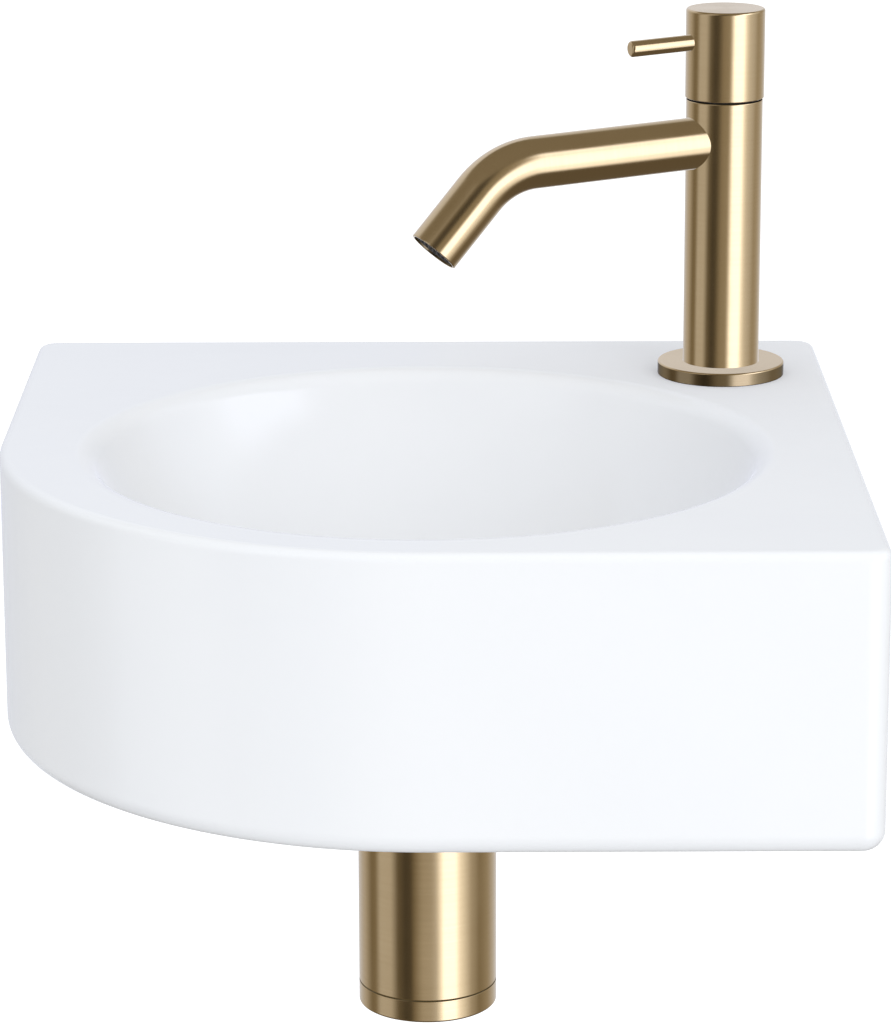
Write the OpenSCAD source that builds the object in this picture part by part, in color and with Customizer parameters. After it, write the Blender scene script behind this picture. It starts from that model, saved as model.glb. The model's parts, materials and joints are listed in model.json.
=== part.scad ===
// Wall hung hand basin with a quarter turn pillar tap, a free flow waste and a bottle trap.
// The wall is the plane Y = 0, X runs along it to the right, and Z points up.
// The origin is midway between the two wall fixing holes, in the basin's back face.

/* [Basin outline] */
// Width of the basin along the wall
basin_w = 302; // [290:2:360]
// Depth of the basin from the wall to its front
basin_d = 308; // [288:2:340]
// Height of the basin from rim to lower edge
basin_h = 103.5; // [98:0.5:130]
// Plan radius of the large front left corner
corner_r = 152; // [90:2:160]
// Plan radius of the three small corners
small_corner_r = 8; // [8:0.5:10]
// Rounding of the top edge
top_edge_r = 3; // [2:0.5:4]
// Rounding of the lower edge
lower_edge_r = 7; // [3:0.5:7]

/* [Basin walls] */
// Thickness of the skirt at the front and the sides
skirt_wall = 12; // [8:0.5:13]
// Thickness of the back wall
back_wall = 18; // [14:0.5:22]
// Thickness of the deck round the bowl and under the tap
deck_thick = 15; // [10:0.5:20]
// Thickness of the bowl
bowl_wall = 11; // [8:0.5:13]
// Radius of the small corners inside the hollow underside
hollow_corner_r = 10; // [6:1:16]

/* [Bowl] */
// Width of the deck between the bowl's opening and the wall
bowl_to_wall = 36; // [34:1:38]
// Width of the rim between the bowl's opening and the front
bowl_to_front = 16; // [15:1:20]
// Width of the rim between the bowl's opening and either side
bowl_to_side = 27; // [24:1:32]
// Distance of the bowl's centre from the middle of the width
bowl_shift = 0; // [-2:1:2]
// Depth of the bowl below the deck
bowl_depth = 78; // [70:1:82]
// Rounding between the deck and the bowl
lip_r = 9; // [6:0.5:12]

/* [Holes in the ceramic] */
// Distance between the two wall fixing holes
wall_hole_spacing = 150; // [130:2:180]
// Drop of the wall fixing holes below the rim
wall_hole_drop = 60; // [50:1:70]
// Radius of a wall fixing hole
wall_hole_r = 7; // [5:0.5:8]
// Radius of the tap hole
tap_hole_r = 17.5; // [16:0.5:18]
// Distance of the tap's axis from the right side
tap_from_right = 39.6; // [36:0.2:42]
// Distance of the tap's axis from the wall
tap_from_wall = 56.4; // [50:0.2:58]
// Radius of the waste hole
waste_hole_r = 23; // [22:0.5:24]
// Depth of the waste's seat below the lowest point of the bowl
seat_sink = 2; // [1:0.5:4]
// Radius of the waste's seat
seat_r = 33.5; // [33:0.5:36]
// Thickness of the ceramic under the waste's seat
seat_floor = 12; // [9:0.5:14]
// Radius of the flat boss under the waste's seat
seat_boss_r = 40; // [36:1:46]

/* [Tap body] */
// Radius of the tap body
tap_r = 14.25; // [14:0.05:15]
// Height of the tap body above the deck
tap_h = 104.7; // [95:0.5:115]
// Radius of the base flange
flange_r = 23.8; // [23:0.1:25]
// Thickness of the base flange
flange_h = 5; // [4:0.5:7]
// Rounding of the base flange's upper edge
flange_edge_r = 0.6; // [0.3:0.1:1.2]
// Thickness of the seal under the base flange
flange_seal_h = 1.5; // [1:0.1:2]
// Radial width of the seal under the base flange
flange_seal_w = 3; // [2:0.5:3.5]
// Radius of the waterway through the tap body and shank
waterway_r = 6; // [4:0.5:7]
// Radius of the bore for the cartridge
cartridge_bore_r = 10.45; // [10.2:0.05:10.6]
// Depth of the bore for the cartridge
cartridge_bore_depth = 26; // [26:0.5:30]

/* [Spout] */
// Turn of the spout and lever from the left towards the front, in degrees
spout_turn = 24; // [0:1:60]
// Fall of the spout and the lever from level, in degrees
spout_fall = 1.8; // [0:0.1:4]
// Drop of the spout's axis below the top of the tap body
spout_drop = 15.5; // [13:0.5:16]
// Outer radius of the spout
spout_r = 9.65; // [9.3:0.05:10]
// Radius of the spout's waterway
spout_bore_r = 7; // [5.5:0.1:7.2]
// Distance from the tap's axis to the start of the spout's bend
spout_straight = 78.4; // [60:0.2:100]
// Radius of the spout's bend along its centre line
spout_bend_r = 31.4; // [24:0.2:40]
// Angle of the spout's bend in degrees
spout_bend = 45.5; // [30:0.5:60]
// Length of the straight leg after the bend
spout_leg = 27; // [22:0.5:34]
// Radius of the spout's root inside the tap body
spout_root_r = 5; // [4.5:0.1:5]
// Radius of the waterway through the spout's root
spout_root_bore_r = 3.8; // [3:0.1:4]
// Thickness of the spout's closed end against the tap body
spout_end_wall = 3; // [2:0.5:5]

/* [Aerator] */
// Outer radius of the aerator body
aerator_r = 8.6; // [7.8:0.1:8.8]
// Length of the aerator body
aerator_h = 9; // [7:0.5:12]
// Wall of the aerator body
aerator_wall = 1.2; // [0.8:0.1:1.6]
// Distance of the aerator from the spout's end
aerator_sink = 0.8; // [0.5:0.1:2.5]
// Thickness of the aerator seal
aerator_seal_h = 1.5; // [1:0.1:2]
// Thickness of the aerator screen
screen_h = 1.6; // [1:0.1:2.4]
// Radius of a hole in the aerator screen
screen_hole_r = 0.75; // [0.5:0.05:0.8]
// Distance between neighbouring holes in the aerator screen
screen_pitch = 2.2; // [2:0.1:2.4]

/* [Tap fixing] */
// Radius of the threaded shank
shank_r = 11; // [10.8:0.1:11.2]
// Length of the shank below the deck's top
shank_below = 60; // [56:1:75]
// Radius of the shank's end that takes the water supply
inlet_r = 10.48; // [9:0.02:10.6]
// Length of the shank's end that takes the water supply
inlet_l = 18; // [12:1:20]
// Length of the shank screwed into the tap body
shank_engage = 14; // [10:1:18]
// Radius of the centring bush's flange and of the washer
bush_flange_r = 21; // [20:0.5:22]
// Thickness of the centring bush's flange
bush_flange_h = 2; // [1.5:0.5:3]
// Height of the centring bush inside the tap hole
bush_plug_h = 8; // [4:0.5:9]
// Thickness of the rubber washer
tap_washer_h = 2; // [1.5:0.5:3]
// Width across the flats of the tap's back nut
tap_nut_flats = 30; // [27:1:32]
// Thickness of the tap's back nut
tap_nut_h = 8; // [6:0.5:10]

/* [Cartridge] */
// Radius of the cartridge's barrel
barrel_r = 9.2; // [8.9:0.1:9.4]
// Length of the cartridge's thread
cartridge_thread_h = 8; // [6:0.5:8]
// Width across the flats of the cartridge's hexagon
cartridge_flats = 17; // [16:0.5:18]
// Thickness of the cartridge's hexagon
cartridge_hex_h = 5; // [4:0.5:6]
// Radius of the cartridge's neck
neck_r = 6.5; // [6.2:0.1:7]
// Height of the cartridge's neck above its hexagon
neck_h = 4; // [3:0.5:6]
// Thickness of the seat seal under the cartridge
seat_seal_h = 1.5; // [1:0.1:2]
// Radius of the ceramic discs
disc_r = 7.6; // [7.2:0.1:7.7]
// Thickness of each ceramic disc
disc_h = 2.6; // [2:0.1:2.8]
// Radius of the spindle's shaft
spindle_r = 4.5; // [4.2:0.1:4.8]
// Radius of the spindle's splined end in the handle
spline_r = 3.95; // [3.6:0.05:4.1]
// Height of the spindle's splined end above the neck
spline_h = 16.5; // [16:0.5:17.5]
// Thickness of the spindle's foot on the moving disc
spindle_foot_h = 3; // [2.5:0.1:3.5]
// Thickness of the stop lug on the spindle's foot
lug_h = 2.4; // [2:0.1:3]
// Reach of the stop lug from the spindle's axis
lug_reach = 7; // [6.6:0.1:7.2]
// Width of the stop lug in degrees
lug_angle = 30; // [20:1:40]
// Radius of an O-ring's cross section on the spindle
spindle_ring_r = 0.75; // [0.6:0.05:0.9]
// Radius of the O-ring's cross section on the cartridge
cartridge_ring_r = 0.8; // [0.6:0.05:0.9]

/* [Handle] */
// Radius of the handle cap
handle_r = 14.68; // [14.3:0.02:15.4]
// Height of the handle cap
handle_h = 33.2; // [31:0.2:36]
// Rounding of the handle cap's upper edge
handle_edge_r = 0.9; // [0.4:0.1:1.5]
// Radius of the hollow in the handle cap
handle_hollow_r = 11.5; // [10.5:0.1:12]
// Depth of the hollow in the handle cap
handle_hollow_h = 14; // [12:0.5:16]
// Thickness of the glide ring under the handle
glide_ring_h = 0.6; // [0.5:0.1:1]
// Radius of the glide ring
glide_ring_r = 13.2; // [12.5:0.1:13.8]
// Turn of the handle from closed to open, in degrees
handle_turn = 90; // [80:1:100]
// Radius of the lever pin
lever_r = 3; // [2.5:0.1:3.4]
// Reach of the lever pin from the tap's axis
lever_reach = 39.5; // [36:0.5:50]
// Drop of the lever pin's axis below the handle's top
lever_drop = 11.6; // [10:0.2:13]
// Rounding of the lever pin's tip
lever_tip_r = 1; // [0.5:0.1:2]
// Radius of the lever pin's threaded root
lever_root_r = 2; // [1.6:0.1:2.2]
// Length of the lever pin's threaded root
lever_root_l = 8; // [6:0.5:9]
// Radius of the grub screw
grub_r = 2; // [1.6:0.1:2.4]
// Length of the grub screw
grub_l = 8; // [6:0.5:9]
// Width across the flats of the grub screw's socket
grub_socket = 2; // [1.6:0.1:2.2]

/* [Waste] */
// Radius of the waste's flange
waste_flange_r = 32; // [31:0.5:33]
// Thickness of the waste's flange
waste_flange_h = 4; // [4:0.5:5]
// Outer radius of the waste's tail
waste_tail_r = 20.95; // [20.5:0.05:21.2]
// Radius of the waste's bore
waste_bore_r = 18; // [17:0.2:18.6]
// Length of the waste's tail below the ceramic
waste_tail_below = 20; // [18:0.5:24]
// Thickness of the waste's upper gasket
top_gasket_h = 1; // [0.6:0.1:2]
// Radius of the strainer grid
grid_r = 19.9; // [19:0.1:20.2]
// Thickness of the strainer grid
grid_h = 2; // [1.5:0.1:2.5]
// Radius of a hole in the strainer grid
grid_hole_r = 2; // [1.6:0.1:2.2]
// Number of holes in the grid's outer ring
grid_outer_holes = 14; // [8:1:16]
// Number of holes in the grid's inner ring
grid_inner_holes = 7; // [4:1:8]
// Radius of the waste's threaded hub
hub_r = 4.5; // [4:0.1:5]
// Height of the waste's hub and cross bar
hub_h = 5; // [4:0.5:7]
// Width of the waste's cross bar
cross_bar_w = 3.2; // [2.5:0.1:4]
// Radius of the grid screw's thread
grid_screw_r = 2.5; // [2:0.1:2.8]
// Radius of the grid screw's head
grid_screw_head_r = 4.6; // [4.2:0.1:5]
// Radius of the lower gasket and the waste's back nut
waste_nut_r = 30; // [28:0.5:32]
// Thickness of the lower gasket
lower_gasket_h = 3; // [2:0.5:4]
// Thickness of the waste's back nut
waste_nut_h = 7; // [5:0.5:8]

/* [Trap] */
// Outer radius of the trap's cylinder
trap_r = 25; // [24:0.1:27]
// Wall of the trap's cylinder
trap_wall = 1.5; // [1.2:0.1:2]
// Distance from the end of the waste's tail to the top of the trap's cylinder
trap_drop = 21; // [21:0.5:26]
// Height of the trap's cylinder above its cap
trap_h = 66.5; // [64:0.5:90]
// Thickness of the trap's top plate
trap_top_h = 2.5; // [2:0.5:4]
// Height of the clean-out cap
cap_h = 8.1; // [7:0.1:10]
// Thickness of the clean-out cap's floor
cap_floor = 2; // [1.5:0.1:3]
// Length of the cap's thread inside the cylinder
cap_thread_h = 7; // [5:0.5:9]
// Rounding of the cap's lower edge
cap_edge_r = 0.8; // [0.4:0.1:1.4]
// Seam between the cylinder and its cap
cap_seam = 0.4; // [0.3:0.1:0.8]
// Thickness of the O-ring in the cap
cap_ring_r = 0.9; // [0.7:0.05:1.1]
// Outer radius of the dip tube and the outlet tube
tube_r = 16; // [15.5:0.1:16.2]
// Wall of the dip tube and the outlet tube
tube_wall = 1.4; // [1:0.1:1.6]
// Depth of the water seal between the outlet and the dip tube's end
water_seal = 29; // [20:1:30]
// Radius of the dip tube's collar
collar_r = 20; // [19.6:0.1:20.3]
// Thickness of the dip tube's collar
collar_h = 2; // [1.5:0.1:2.5]
// Thickness of the seal on the dip tube's collar
inlet_seal_h = 2; // [1.5:0.1:3]
// Height of the inlet nut
inlet_nut_h = 15; // [14:0.5:15.5]
// Outer radius of the inlet nut
inlet_nut_r = 24; // [23.5:0.1:25]
// Thickness of a nut's inner ledge
nut_ledge = 2.5; // [2:0.1:2.8]
// Radius of the threaded stubs on the trap
stub_r = 19.4; // [19:0.1:19.6]
// Height of the threaded stub above the trap's top plate
neck_stub_h = 6; // [5:0.5:6.5]
// Outer radius of the neck nut and the outlet nut
clamp_nut_r = 22; // [21.5:0.1:23]
// Thickness of a compression seal
clamp_seal_h = 3.5; // [3:0.1:4]
// Drop of the outlet's axis below the top of the trap's cylinder
outlet_drop = 20; // [20:0.5:24]
// Length of the outlet stub beyond the trap's cylinder
outlet_stub_l = 11; // [10:0.5:14]
// Length of the outlet tube behind the wall's face
outlet_into_wall = 40; // [20:5:80]
// Place of the tube's insertion mark behind the wall's face
mark_from_wall = 1; // [0.5:0.5:3]
// Width of the insertion mark
mark_w = 1; // [0.5:0.5:2]
// Depth of the insertion mark
mark_depth = 0.3; // [0.2:0.1:0.5]
// Radius of the wall rosette
rosette_r = 30; // [28:0.5:32]
// Thickness of the wall rosette
rosette_h = 9; // [6:0.5:12]
// Rounding of the wall rosette's front edge
rosette_edge_r = 5; // [2:0.5:6]

/* [Clearances] */
// Radial clearance between threads and in running fits
thread_gap = 0.05; // [0.02:0.01:0.1]
// Clearance between faces that slide on each other
slide_gap = 0.05; // [0.02:0.01:0.1]
// Radial clearance of a seal or washer round what it sits on
seal_gap = 0.1; // [0.05:0.01:0.3]

/* [Hidden] */
$fn = 96;

// Sides of the basin's large curves, and of the dish in section
large_sides = 180;
dish_sides = 360;

// Overrun of a cut past the face it opens
cut = 1;

// Sides and centre of the large corner in plan
side_x = basin_w / 2;
corner_x = corner_r - side_x;
corner_y = corner_r - basin_d;

// Bowl's opening, as large as the depth and the width leave room for, near the front
bowl_r = min((basin_d - bowl_to_wall - bowl_to_front) / 2, side_x - bowl_to_side);
bowl_from_wall = basin_d - bowl_to_front - bowl_r;

// Dish of the bowl: a sphere that meets the lip's rounding on a tangent
lip_reach = (pow(bowl_r, 2) + pow(bowl_depth, 2)) / (2 * bowl_depth);
dish_r = lip_reach - lip_r;
dish_z = dish_r - bowl_depth;
join_z = dish_z - (dish_z + lip_r) * dish_r / lip_reach;
join_lap = 0.02;

// Heights below the rim, along the waste's axis
seat_z = -bowl_depth - seat_sink;
under_z = seat_z - seat_floor;
waste_flange_z = seat_z + top_gasket_h;
hub_drop = 3;
hub_z = waste_flange_z - hub_h - hub_drop;
grid_z = waste_flange_z + waste_flange_h - grid_h;
lower_gasket_z = under_z - lower_gasket_h;
waste_nut_z = lower_gasket_z - waste_nut_h;
tail_z = under_z - waste_tail_below;

// Heights below the rim, down the trap
inlet_seal_z = tail_z - inlet_seal_h;
collar_z = inlet_seal_z - collar_h;
inlet_nut_z = collar_z - nut_ledge;
trap_top_z = tail_z - trap_drop;
neck_seal_z = trap_top_z + neck_stub_h;
neck_nut_top_z = neck_seal_z + clamp_seal_h + nut_ledge;
clamp_nut_h = nut_ledge + clamp_seal_h + neck_stub_h / 2;
trap_bottom_z = trap_top_z - trap_h;
cap_z = trap_bottom_z - cap_seam - cap_h;
outlet_z = trap_top_z - outlet_drop;
dip_end_z = outlet_z - tube_r + tube_wall - water_seal;
cap_thread_r = trap_r - trap_wall - thread_gap;
cap_ring_core_r = cap_thread_r - 2 * cap_ring_r;
cap_ring_z = trap_bottom_z + cap_ring_r + 2 * slide_gap;

// Places along the outlet, measured from the trap's axis towards the wall
outlet_stub_y = trap_r + outlet_stub_l;
tube_end_room = 4;
outlet_inner_y = tube_r + tube_end_room;
outlet_nut_y = outlet_stub_y + clamp_seal_h + nut_ledge;

// Heights above the rim, up the tap
spout_z = tap_h - spout_drop;
bore_z = tap_h - cartridge_bore_depth;
barrel_z = bore_z + seat_seal_h;
cartridge_top_z = tap_h + cartridge_hex_h + neck_h;
barrel_ledge = 1;
fixed_disc_z = barrel_z + barrel_ledge;
moving_disc_z = fixed_disc_z + disc_h + slide_gap;
spindle_z = moving_disc_z + disc_h;
foot_top_z = spindle_z + spindle_foot_h;
disc_bore_r = disc_r + thread_gap;
handle_z = tap_h + glide_ring_h + slide_gap * 2;
handle_top_z = handle_z + handle_h;
lever_z = handle_top_z - lever_drop;
thread_z = tap_h - cartridge_thread_h;
cartridge_ring_z = thread_z - cartridge_ring_r - 2 * slide_gap;
cartridge_ring_core_r = cartridge_bore_r - thread_gap - 2 * cartridge_ring_r;
spindle_ring_z = thread_z + cartridge_thread_h / 2;

// Seal under the base flange, kept inside the flange's rim
flange_rim_w = 3;
flange_seal_out_r = flange_r - flange_rim_w;
flange_seal_in_r = flange_seal_out_r - flange_seal_w;

// Room for the aerator in the spout's end
aerator_room = aerator_sink + aerator_h + aerator_seal_h;
screen_r = aerator_r - aerator_wall / 2;
screen_edge = 0.6;
screen_sides = 24;

// Small rounding of turned edges on nuts and on the trap
turned_edge_r = 0.6;

// Stop lug of the spindle: its free play at either stop, in degrees
lug_play = 1;

// Windows of the ceramic discs: rim outside them, radius inside them, and their angle
disc_rim = 1.5;
disc_core_r = 2.1;
disc_window_angle = 80;

// Height of the water windows in the cartridge
window_h = 2;

// Screw that holds the strainer grid
grid_screw_head_h = 2;
grid_screw_past_hub = 1;
grid_screw_socket = 2.5;
grid_rim = 1;

// Grip notches of the waste's back nut
notch_count = 12;
notch_r = 3;
notch_out = 1;

// Sheet of the wall rosette, and the room behind its front
rosette_sheet = 1.5;
rosette_rim = 2;

// Heights below the rim, under the tap
tap_washer_z = -deck_thick - bush_flange_h - tap_washer_h;
tap_nut_z = tap_washer_z - tap_nut_h;

// Lap of the spout's bend into the straight stretches in degrees, and its step in radius
bend_lap = 1;
bend_step = 0.02;

// Places of the two vertical axes
tap_place = [side_x - tap_from_right, -tap_from_wall, wall_hole_drop];
bowl_place = [bowl_shift, -bowl_from_wall, wall_hole_drop];

// Colours as they look on the real object
ceramic_colour = [0.96, 0.97, 0.98];
brass_colour = [0.74, 0.6, 0.38];
rubber_colour = [0.12, 0.12, 0.13];
plastic_colour = [0.82, 0.83, 0.84];
dark_plastic_colour = [0.2, 0.2, 0.21];
disc_colour = [0.93, 0.92, 0.88];
steel_colour = [0.7, 0.71, 0.73];

// Placing a piece on one of the two axes, with its heights counted from the rim
module on_tap_axis() translate(tap_place) children();
module on_bowl_axis() translate(bowl_place) children();
module towards_spout() rotate([0, 0, 180 + spout_turn]) children();

// A line from the tap's axis at the height z, with Z along the line: the spout's or the lever's
module along_fall(z) {
    towards_spout() translate([0, 0, z]) rotate([0, 90 + spout_fall, 0]) children();
}

// A disc or a ring standing on the height z
module disc(z, r, h) translate([0, 0, z]) cylinder(r = r, h = h);
module ring(z, r_out, r_in, h) {
    difference() {
        disc(z, r_out, h);
        disc(z - cut, r_in, h + 2 * cut);
    }
}

// Half section of a block: width w, height h, with its two outer edges rounded
module edge_profile(w, h, lower_r, upper_r) {
    intersection() {
        square([w, h]);
        union() {
            square([w - lower_r, h - upper_r]);
            translate([0, lower_r]) square([w - upper_r, h - lower_r]);
            translate([0, lower_r]) square([w, h - lower_r - upper_r]);
            if (lower_r > 0) translate([w - lower_r, lower_r]) circle(lower_r);
            if (upper_r > 0) translate([w - upper_r, h - upper_r]) circle(upper_r);
        }
    }
}

// A round block with rounded edges, standing on the height z
module soft_disc(z, r, h, lower_r, upper_r) {
    translate([0, 0, z]) rotate_extrude() edge_profile(r, h, lower_r, upper_r);
}

// An O-ring lying level: ring radius, radius of its section, height of its centre
module o_ring(z, r, section_r) {
    translate([0, 0, z]) rotate_extrude() translate([r, 0]) circle(section_r);
}

// A hexagon standing on the height z
module hexagon(z, flats, h) translate([0, 0, z]) cylinder(d = flats / cos(30), h = h, $fn = 6);

// Outer section of the basin's edge, hanging from the rim
module rim_profile(w) {
    translate([0, -basin_h]) edge_profile(w, basin_h, lower_edge_r, top_edge_r);
}

// One straight side of the basin, from its start and with its outside turned by an angle
module straight_side(x, y, turn, length) {
    translate([x, y, 0]) rotate([0, 0, turn]) rotate([90, 0, 0])
        linear_extrude(length) rim_profile(small_corner_r);
}

// One rounded corner of the basin
module round_corner(x, y, turn, r) {
    translate([x, y, 0]) rotate([0, 0, turn]) rotate_extrude(angle = 90) rim_profile(r);
}

// The basin as a full block, without its bowl and hollows
module basin_block() {
    inner_x = side_x - small_corner_r;
    inner_y = basin_d - small_corner_r;
    translate([0, 0, -basin_h]) linear_extrude(basin_h) polygon([
        [-inner_x, -small_corner_r], [inner_x, -small_corner_r], [inner_x, -inner_y],
        [corner_x, -inner_y], [corner_x, corner_y], [-inner_x, corner_y]
    ]);
    straight_side(inner_x, -small_corner_r, 0, inner_y - small_corner_r);
    straight_side(inner_x, -inner_y, -90, inner_x - corner_x);
    straight_side(-inner_x, corner_y, 180, -small_corner_r - corner_y);
    straight_side(-inner_x, -small_corner_r, 90, 2 * inner_x);
    round_corner(inner_x, -small_corner_r, 0, small_corner_r);
    round_corner(-inner_x, -small_corner_r, 90, small_corner_r);
    round_corner(corner_x, corner_y, 180, corner_r);
    round_corner(inner_x, -inner_y, 270, small_corner_r);
}

// Plan of the hollow underside: the basin's outline drawn in by its walls
module hollow_plan() {
    s = hollow_corner_r;
    left = skirt_wall - side_x;
    right = side_x - skirt_wall;
    front = skirt_wall - basin_d;
    back = -back_wall;
    translate([left + s, corner_y]) square([right - left - 2 * s, back - corner_y]);
    translate([left, corner_y]) square([s * 2, back - s - corner_y]);
    translate([right - 2 * s, front + s]) square([2 * s, back - front - 2 * s]);
    translate([corner_x, front]) square([right - s - corner_x, corner_y - front]);
    for (p = [[left + s, back - s], [right - s, back - s], [right - s, front + s]])
        translate(p) circle(s);
    intersection() {
        translate([corner_x, corner_y]) circle(corner_r - skirt_wall, $fn = large_sides);
        translate([left, front]) square([corner_x - left, corner_y - front]);
    }
}

// The space of the bowl: the dish, and above it the flare of the lip's rounding
module bowl_space() {
    rotate_extrude($fn = large_sides) {
        intersection() {
            translate([0, dish_z]) circle(dish_r, $fn = dish_sides);
            translate([0, -bowl_depth - cut])
                square([dish_r, bowl_depth + cut + join_z + join_lap]);
        }
        difference() {
            translate([0, join_z]) square([bowl_r, cut - join_z]);
            translate([bowl_r, -lip_r]) circle(lip_r);
        }
    }
}

// The outside of the bowl below the deck, with the flat boss under the waste
module bowl_outside() {
    intersection() {
        union() {
            translate([0, 0, dish_z]) sphere(dish_r + bowl_wall, $fn = large_sides);
            disc(under_z, seat_boss_r, seat_floor);
        }
        translate([-side_x, -side_x, -basin_h]) cube([basin_w, basin_w, basin_h - deck_thick]);
    }
}

// The ceramic is one fired piece. It is drawn as two solids that meet at the deck's
// underside: the deck with its skirt and back wall, and the bowl that hangs from it.
module basin_shell() {
    color(ceramic_colour)
    translate([0, 0, wall_hole_drop]) difference() {
        basin_block();
        translate([bowl_shift, -bowl_from_wall, 0]) bowl_space();
        translate([0, 0, -basin_h - cut])
            linear_extrude(basin_h - deck_thick + cut) hollow_plan();
        translate([tap_place.x, tap_place.y, 0])
            disc(-deck_thick - cut, tap_hole_r, deck_thick + 2 * cut);
        for (side = [-1, 1])
            translate([side * wall_hole_spacing / 2, cut, -wall_hole_drop])
                rotate([90, 0, 0]) cylinder(r = wall_hole_r, h = back_wall + 2 * cut);
    }
}

module basin_bowl() {
    color(ceramic_colour) on_bowl_axis() difference() {
        bowl_outside();
        bowl_space();
        disc(seat_z, seat_r, bowl_depth);
        disc(under_z - cut, waste_hole_r, seat_floor + 2 * cut);
    }
}

module tap_flange() {
    color(brass_colour) on_tap_axis() difference() {
        soft_disc(0, flange_r, flange_h, 0, flange_edge_r);
        disc(-cut, tap_r + thread_gap, flange_h + 2 * cut);
        difference() {
            disc(-cut, flange_seal_out_r + seal_gap, flange_seal_h + cut);
            disc(-2 * cut, flange_seal_in_r - seal_gap, flange_seal_h + 3 * cut);
        }
    }
}

module tap_flange_seal() {
    color(rubber_colour) on_tap_axis()
        ring(0, flange_seal_out_r, flange_seal_in_r, flange_seal_h);
}

module tap_body() {
    color(brass_colour) on_tap_axis() difference() {
        disc(0, tap_r, tap_h);
        disc(-cut, shank_r + thread_gap, shank_engage + cut);
        disc(0, waterway_r, tap_h);
        disc(bore_z, cartridge_bore_r, cartridge_bore_depth + cut);
        spout_root(spout_root_r);
    }
}

// A solid of one radius along the spout's centre line, from a distance off the tap's axis
// to a distance past the spout's end. The bend is a hair thinner and laps into both
// straight stretches.
module spout_run(r, from, past) {
    towards_spout() translate([0, 0, spout_z]) rotate([0, spout_fall, 0]) {
        rotate([0, 90, 0]) disc(from, r, spout_straight - from);
        translate([spout_straight, 0, -spout_bend_r]) rotate([90, 0, 0])
            rotate([0, 0, 90 - spout_bend - bend_lap])
                rotate_extrude(angle = spout_bend + 2 * bend_lap)
                    translate([spout_bend_r, 0]) circle(r - bend_step);
        spout_end_place() cylinder(r = r, h = spout_leg + past);
    }
}

// The start of the spout's straight leg, with Z along the leg
module spout_end_place() {
    translate([spout_straight + spout_bend_r * sin(spout_bend), 0,
               -spout_bend_r * (1 - cos(spout_bend))])
        rotate([0, 90 + spout_bend, 0]) children();
}

// A piece inside the spout's end: its near face is a distance from the end
module in_spout_end(from_end) {
    on_tap_axis() towards_spout() translate([0, 0, spout_z]) rotate([0, spout_fall, 0])
        spout_end_place() translate([0, 0, spout_leg - from_end]) children();
}

// The spout's root, a round stub through the tap body's wall
module spout_root(r) along_fall(spout_z) cylinder(r = r, h = tap_r + spout_end_wall + cut);

module spout_tube() {
    color(brass_colour) difference() {
        on_tap_axis() difference() {
            union() {
                difference() {
                    spout_run(spout_r, 0, 0);
                    disc(0, tap_r + slide_gap, tap_h);
                }
                difference() {
                    spout_root(spout_root_r - thread_gap);
                    disc(0, cartridge_bore_r + slide_gap, tap_h);
                }
            }
            spout_root(spout_root_bore_r);
            spout_run(spout_bore_r, tap_r + spout_end_wall, cut);
        }
        in_spout_end(aerator_room) cylinder(r = aerator_r + seal_gap, h = aerator_room + cut);
    }
}

module aerator_body() {
    color(dark_plastic_colour) in_spout_end(aerator_sink + aerator_h) difference() {
        cylinder(r = aerator_r, h = aerator_h);
        translate([0, 0, -cut]) cylinder(r = aerator_r - aerator_wall, h = aerator_h + 2 * cut);
        translate([0, 0, aerator_h - screen_h]) cylinder(r = screen_r + slide_gap, h = screen_h + cut);
    }
}

// Screen with a hexagonal field of round holes
module aerator_screen() {
    rows = floor(screen_r / screen_pitch);
    color(dark_plastic_colour) in_spout_end(aerator_sink + screen_h) difference() {
        cylinder(r = screen_r, h = screen_h);
        for (a = [-rows : rows], b = [-rows : rows]) {
            x = (a + b / 2) * screen_pitch;
            y = b * screen_pitch * sin(60);
            if (norm([x, y]) < screen_r - screen_hole_r - screen_edge)
                translate([x, y, -cut])
                    cylinder(r = screen_hole_r, h = screen_h + 2 * cut, $fn = screen_sides);
        }
    }
}

module aerator_seal() {
    color(rubber_colour) in_spout_end(aerator_room)
        ring(0, aerator_r, spout_bore_r - seal_gap, aerator_seal_h);
}

module tap_shank() {
    color(brass_colour) on_tap_axis() difference() {
        union() {
            disc(-shank_below, inlet_r, shank_below);
            disc(inlet_l - shank_below, shank_r, shank_below - inlet_l + shank_engage);
        }
        disc(-shank_below - cut, waterway_r, shank_below + shank_engage + 2 * cut);
    }
}

module centring_bush() {
    color(plastic_colour) on_tap_axis() difference() {
        union() {
            disc(-deck_thick - bush_flange_h, bush_flange_r, bush_flange_h);
            disc(-deck_thick - cut, tap_hole_r - seal_gap, bush_plug_h + cut);
        }
        disc(-deck_thick - bush_flange_h - cut, shank_r + seal_gap,
             bush_plug_h + bush_flange_h + 2 * cut);
    }
}

module tap_washer() {
    color(rubber_colour) on_tap_axis()
        ring(tap_washer_z, bush_flange_r, shank_r + seal_gap, tap_washer_h);
}

module tap_back_nut() {
    color(brass_colour) on_tap_axis() difference() {
        hexagon(tap_nut_z, tap_nut_flats, tap_nut_h);
        disc(tap_nut_z - cut, shank_r + thread_gap, tap_nut_h + 2 * cut);
    }
}

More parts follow.
